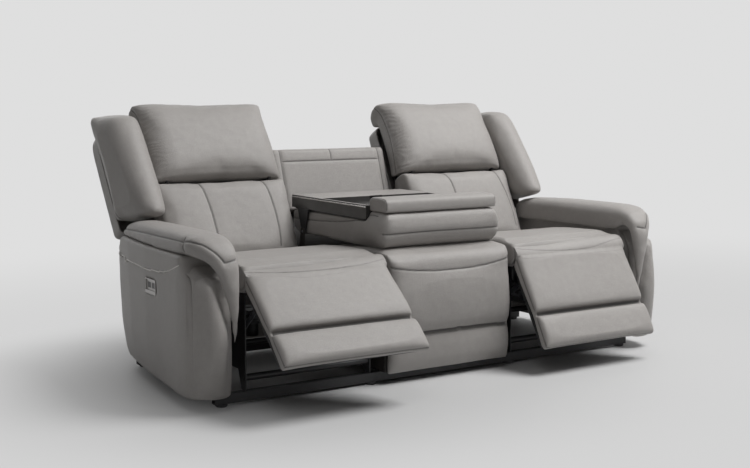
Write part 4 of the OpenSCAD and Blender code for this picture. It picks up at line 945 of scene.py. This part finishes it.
def gathered(cover, x_edge, seed, height, reach=42):
    """Small folds that run in from the gathered side seam of a slack cover."""
    from_edge = np.abs(cover.points[:, 0] - x_edge)
    front = np.clip((20 - cover.points[:, 1]) / 60, 0, 1)
    phase = cover.points[:, 2] / 21 + 1.6 * noise(cover.points, 60, seed)
    fold = np.sin(math.tau * phase) * np.exp(-(from_edge / reach) ** 2) * front
    cover.points += cover.normals() * (height * fold)[:, None]
    return cover


pillow_foam = foam_block(softened(PILLOW_OUTLINE, 20), *SEAT_SIDES)
pillow_form = crowned(cut_cover(pillow_foam, 7, 6, 1), 41.5, 112, 9, 0.42, joins=(364, 748), bow=2, rise=1)
pillow_form = refined(flanged(plump(pillow_form, 3.5, 13), 380, 648))
held_by(pillow_form, pillow_foam, 19, (SEAT_SIDES[0] - 2, -FREE, -FREE), (SEAT_SIDES[1] + 2, FREE, FREE))
for flip, side in enumerate(SIDES):
    pillow = relaxed(pillow_form.for_side(side), 51 + flip, 2.2, 0.6)
    near_x, far_x = sorted(x * (-1 if flip else 1) for x in SEAT_SIDES)
    gathered(pillow, near_x + 6, 55 + flip, 0.6, 52)
    gathered(pillow, far_x - 6, 57 + flip, 0.3)
    for x in (near_x, far_x):
        sew(pillow, [(x, n, s) for n, s in PILLOW_END_SEAM], 2.4, 3.4, 1.2, 14, ())
    make_piece(f"{side}_pillow", leant(pillow), f"{side}_headrest", [f"{side}_head_pillow"])

# --- Middle seat and fixed back panel ---
# The fixed seat and its front share one cover with a sagging seam and a deep crease near the
# floor. The back panel behind the table is a thin pad with a sewn band and a rolled border.
MIDDLE_SEAM = [
    (-292, -488, 452), (-245, -488, 441), (-174, -486, 430), (-78, -482, 421), (21, -482, 419),
    (123, -484, 424), (198, -487, 434), (292, -490, 452)]
BAND_SEAM = [(x, 443, 803) for x in (-252, -100, 100, 252)]
BAND_CENTRE = [(0, 443, 803), (0, 453, 833), (0, 466, 862)]
BORDER_SEAM = [(384, 600), (410, 680), (440, 790), (466, 862)]
MIDDLE_SIDES = (-292, 292)
FRONT_FROM = -462  # the cover is the front panel forward of this
MIDDLE_OUTLINE = [
    (-427, 400), (116, 400), (116, 428), (108, 446), (80, 458), (-14, 477), (-184, 498), (-369, 505),
    (-419, 501)] + arc(LEG_HINGE, NOSE_R, range(102, 186, 11))
MIDDLE_OUTLINE += [
    (-491, 430), (-491, 408), (-497, 380), (-503, 343), (-506.5, 283), (-501, 215), (-482, 183),
    (-489, 166), (-491, 122), (-487, 61), (-476, 31), (-460.5, 31), (-460.5, 398)]
MIDDLE_CREASE = [(-278, -500, 183), (-150, -510, 182), (150, -510, 182), (278, -500, 183)]
middle_foam = foam_block(softened(MIDDLE_OUTLINE, 10, 60), *MIDDLE_SIDES)
middle_front = cut_cover(middle_foam, 8, 5, 0.5)
x, y, z = middle_front.points.T
apron = y < FRONT_FROM
near = np.clip(1 - np.minimum(x + 292, 292 - x) / 46, 0, 1)
roll_back = (1 - (1 - near ** 2.4) ** (1 / 2.4)) * 0.55
y[apron] += (FRONT_FROM - y[apron]) * roll_back[apron]
bulge = 1 - np.abs(x / 292) ** 2.4
for low, high, height in ((31, 183, 3), (183, 425, 10)):
    there = apron & (z > low) & (z < high)
    y[there] -= height * np.sin(math.pi * (z[there] - low) / (high - low)) ** 0.7 * bulge[there]
middle_front = refined(plump(middle_front, 2.5, 8))
held_by(middle_front, middle_foam, 13, (-292.5, -FREE, 28), (292.5, FREE, FREE))
relaxed(middle_front, 61, 1.4, 0.4)
sew(middle_front, MIDDLE_SEAM, 2.8, 4, 1.6, 20)
sew(middle_front, MIDDLE_CREASE, 10, 7, 2, 30, (), 0.95, 5)
make_piece("middle_seat", middle_front, "base", ["middle_seat_cushion", "middle_front_pad"])

back_panel = refined(plump(cut_cover(foam_of("middle_back_pad"), 7, 4, 0.5), 2, 4))
for x in (-254, 254):
    sew(back_panel, [(x, y, z) for y, z in BORDER_SEAM], 4, 7, 2, 18, ())
sew(back_panel, BAND_SEAM, 2.6, 4, 1.5, 16)
sew(back_panel, BAND_CENTRE, 2.4, 3.6, 1.2, 12, ())
held_by(back_panel, foam_of("middle_back_pad"), 3)
make_piece("middle_back", back_panel, "base", ["middle_back_pad"])

outside_rear = refined(cut_cover(foam_of("rear_panel"), 12, 2, 0.4))
make_piece("outside_rear", outside_rear, "base", ["rear_panel"], shell_leather)

# --- Folding table ---
# The folded middle back: a padded leather body, a lip cushion over its end and a moulded tray
# with a recess and two cup wells let into its top. It swings on the table hinge.
TABLE_SIDE_SEAM = [
    (290, 572), (213, 572), (54, 578), (-109, 590), (-202, 603), (-259, 622), (-300, 640), (-372, 646)]
TABLE_END_SEAM = [(-281, -420, 568), (-203, -428, 569), (32, -430, 570), (281, -420, 569)]
TABLE_OUTLINE = [
    (-360, 507), (244, 514), (280, 526), (302, 562), (300, 612.2), (-302.5, 612.2), (-305.5, 648),
    (-330, 648.5), (-418, 648.5), (-431, 636), (-437, 612), (-438, 588), (-435, 560), (-424, 534),
    (-402, 514)]
CUP_POCKET = (122, -243, -137, 588)  # half width, front, rear and floor of the room for the wells
TRAY_FRONT, TRAY_UNDER = -301, 611
TABLE_HALF, LIP_HALF = 281, 263  # half the widths of the body and of the lip on it
table_foam = foam_block(softened(TABLE_OUTLINE, 22, 70), -TABLE_HALF, TABLE_HALF)
table_body = cut_cover(table_foam, 7, 5, 0.5)
x, y, z = table_body.points.T
end_crown = (12 - 34 * np.clip(np.abs(z - 580) / 68, 0, 1) ** 2.2) * fade(y, -200, -360)
x += np.sign(x) * end_crown * (np.abs(x) / TABLE_HALF) ** 4
front_turn, corner = fade(y, -372, -436), fade(np.abs(x), 190, TABLE_HALF)
x -= np.sign(x) * 30 * corner * (1 - np.sqrt(1 - front_turn ** 2.2))
table_body = refined(plump(eased(table_body, 4), 2.5, 6))
held_by(table_body, table_foam, 12, (-293, -FREE, -FREE), (293, FREE, FREE))
x, y, z = table_body.points.T
half, front, rear, pocket_floor = CUP_POCKET
z[(np.abs(x) < half) & (y > front) & (y < rear) & (z > pocket_floor)] = pocket_floor
z[(y > TRAY_FRONT) & (z > TRAY_UNDER)] = TRAY_UNDER
relaxed(table_body, 71, 1.2, 0.4)
for x in (-TABLE_HALF, TABLE_HALF):
    sew(table_body, [(x, y, z) for y, z in TABLE_SIDE_SEAM], 2.6, 4, 1.4, 18, ())
sew(table_body, TABLE_END_SEAM, 3, 4.2, 2, 22)
make_piece("table_body", table_body, "table", ["table_cushion"])

LIP_OUTLINE = [
    (-421, 649), (-302.5, 649), (-302.5, 694), (-310, 701), (-322.5, 703), (-388, 703), (-408, 700),
    (-420, 690), (-423, 672)]
LIP_END_SEAM = [(-421, 660), (-420, 690), (-400, 704), (-310, 704)]
table_lip = cut_cover(foam_block(softened(LIP_OUTLINE, 7, 30), -LIP_HALF, LIP_HALF), 4.5, 2, 0)
table_lip = relaxed(refined(crowned(table_lip, 649, 8, 2, 0.9, up=True)), 81, 0.5, 0.2)
for x in (-LIP_HALF, LIP_HALF):
    sew(table_lip, [(x * 0.985, y, z) for y, z in LIP_END_SEAM], 1.2, 2.6, 0, 20, ())
make_piece("table_lip", table_lip, "table", ["table_cap"])

tray_black = metal("moulded_tray_polymer", (0.062, 0.060, 0.058), 0.22, 0.0, 0.03, 0.06, 1800)
finish_nodes(tray_black, "table_tray")


def flat_frame(outline, z_low, z_high, edge):
    """A thin sheet cut to an outline, its upper edge broken all round by edge."""
    line = np.array(outline, float)
    before, after = np.roll(line, 1, axis=0) - line, np.roll(line, -1, axis=0) - line
    before /= np.linalg.norm(before, axis=1, keepdims=True)
    after /= np.linalg.norm(after, axis=1, keepdims=True)
    side_in = before[:, 1] * after[:, 0] - before[:, 0] * after[:, 1] > 0
    inward = (before + after) * np.where(side_in, 1, -1)[:, None]
    points = []
    for step, z in ((0, z_low), (0, z_high - edge), (edge * 0.3, z_high - edge * 0.3), (edge, z_high)):
        points += [(x, y, z) for x, y in line + inward * step]
    return Cover(np.array(points), tube_faces(len(line), 4))


# leather laid in the tray's rear shelf and along its narrow rims, round the open recess
INLAY = [
    (-277, -298), (-268, -298), (-268, 69), (-34, 69), (-34, 81), (34, 81), (34, 69), (268, 69),
    (268, -298), (277, -298), (277, 297), (-277, 297)]
inlay = flat_frame(INLAY, 669.6, 671.6, 1.0)
make_piece("tray_inlay", inlay, "table", [])
# A bright metal bead along each upper side edge of the tray: painted highlight, standing in for the glint
# that those edges catch.
highlight_metal = metal("trim_as_painted_highlight", (0.62, 0.61, 0.60), 0.22, 0.95, 0.03, 0.04, 2400)
BEAD = [(278.4, 660), (279 + 1.3 * math.sin(math.pi / 4), 661.5), (279 + 1.3, 663.5),
        (279 + 1.3 * math.sin(math.pi * 3 / 4), 665.5), (278.4, 667)]
for side, x_way in zip(SIDES, (-1, 1)):
    rail = [(x_way * x, y, z) for y in np.linspace(-299, 297, 40) for x, z in BEAD]
    bead = Cover(np.array(rail), tube_faces(len(BEAD), 40)).turned_out(102, (x_way, 0, 0))
    make_piece(f"{side}_tray_highlight_bead", bead, "table", [], highlight_metal)
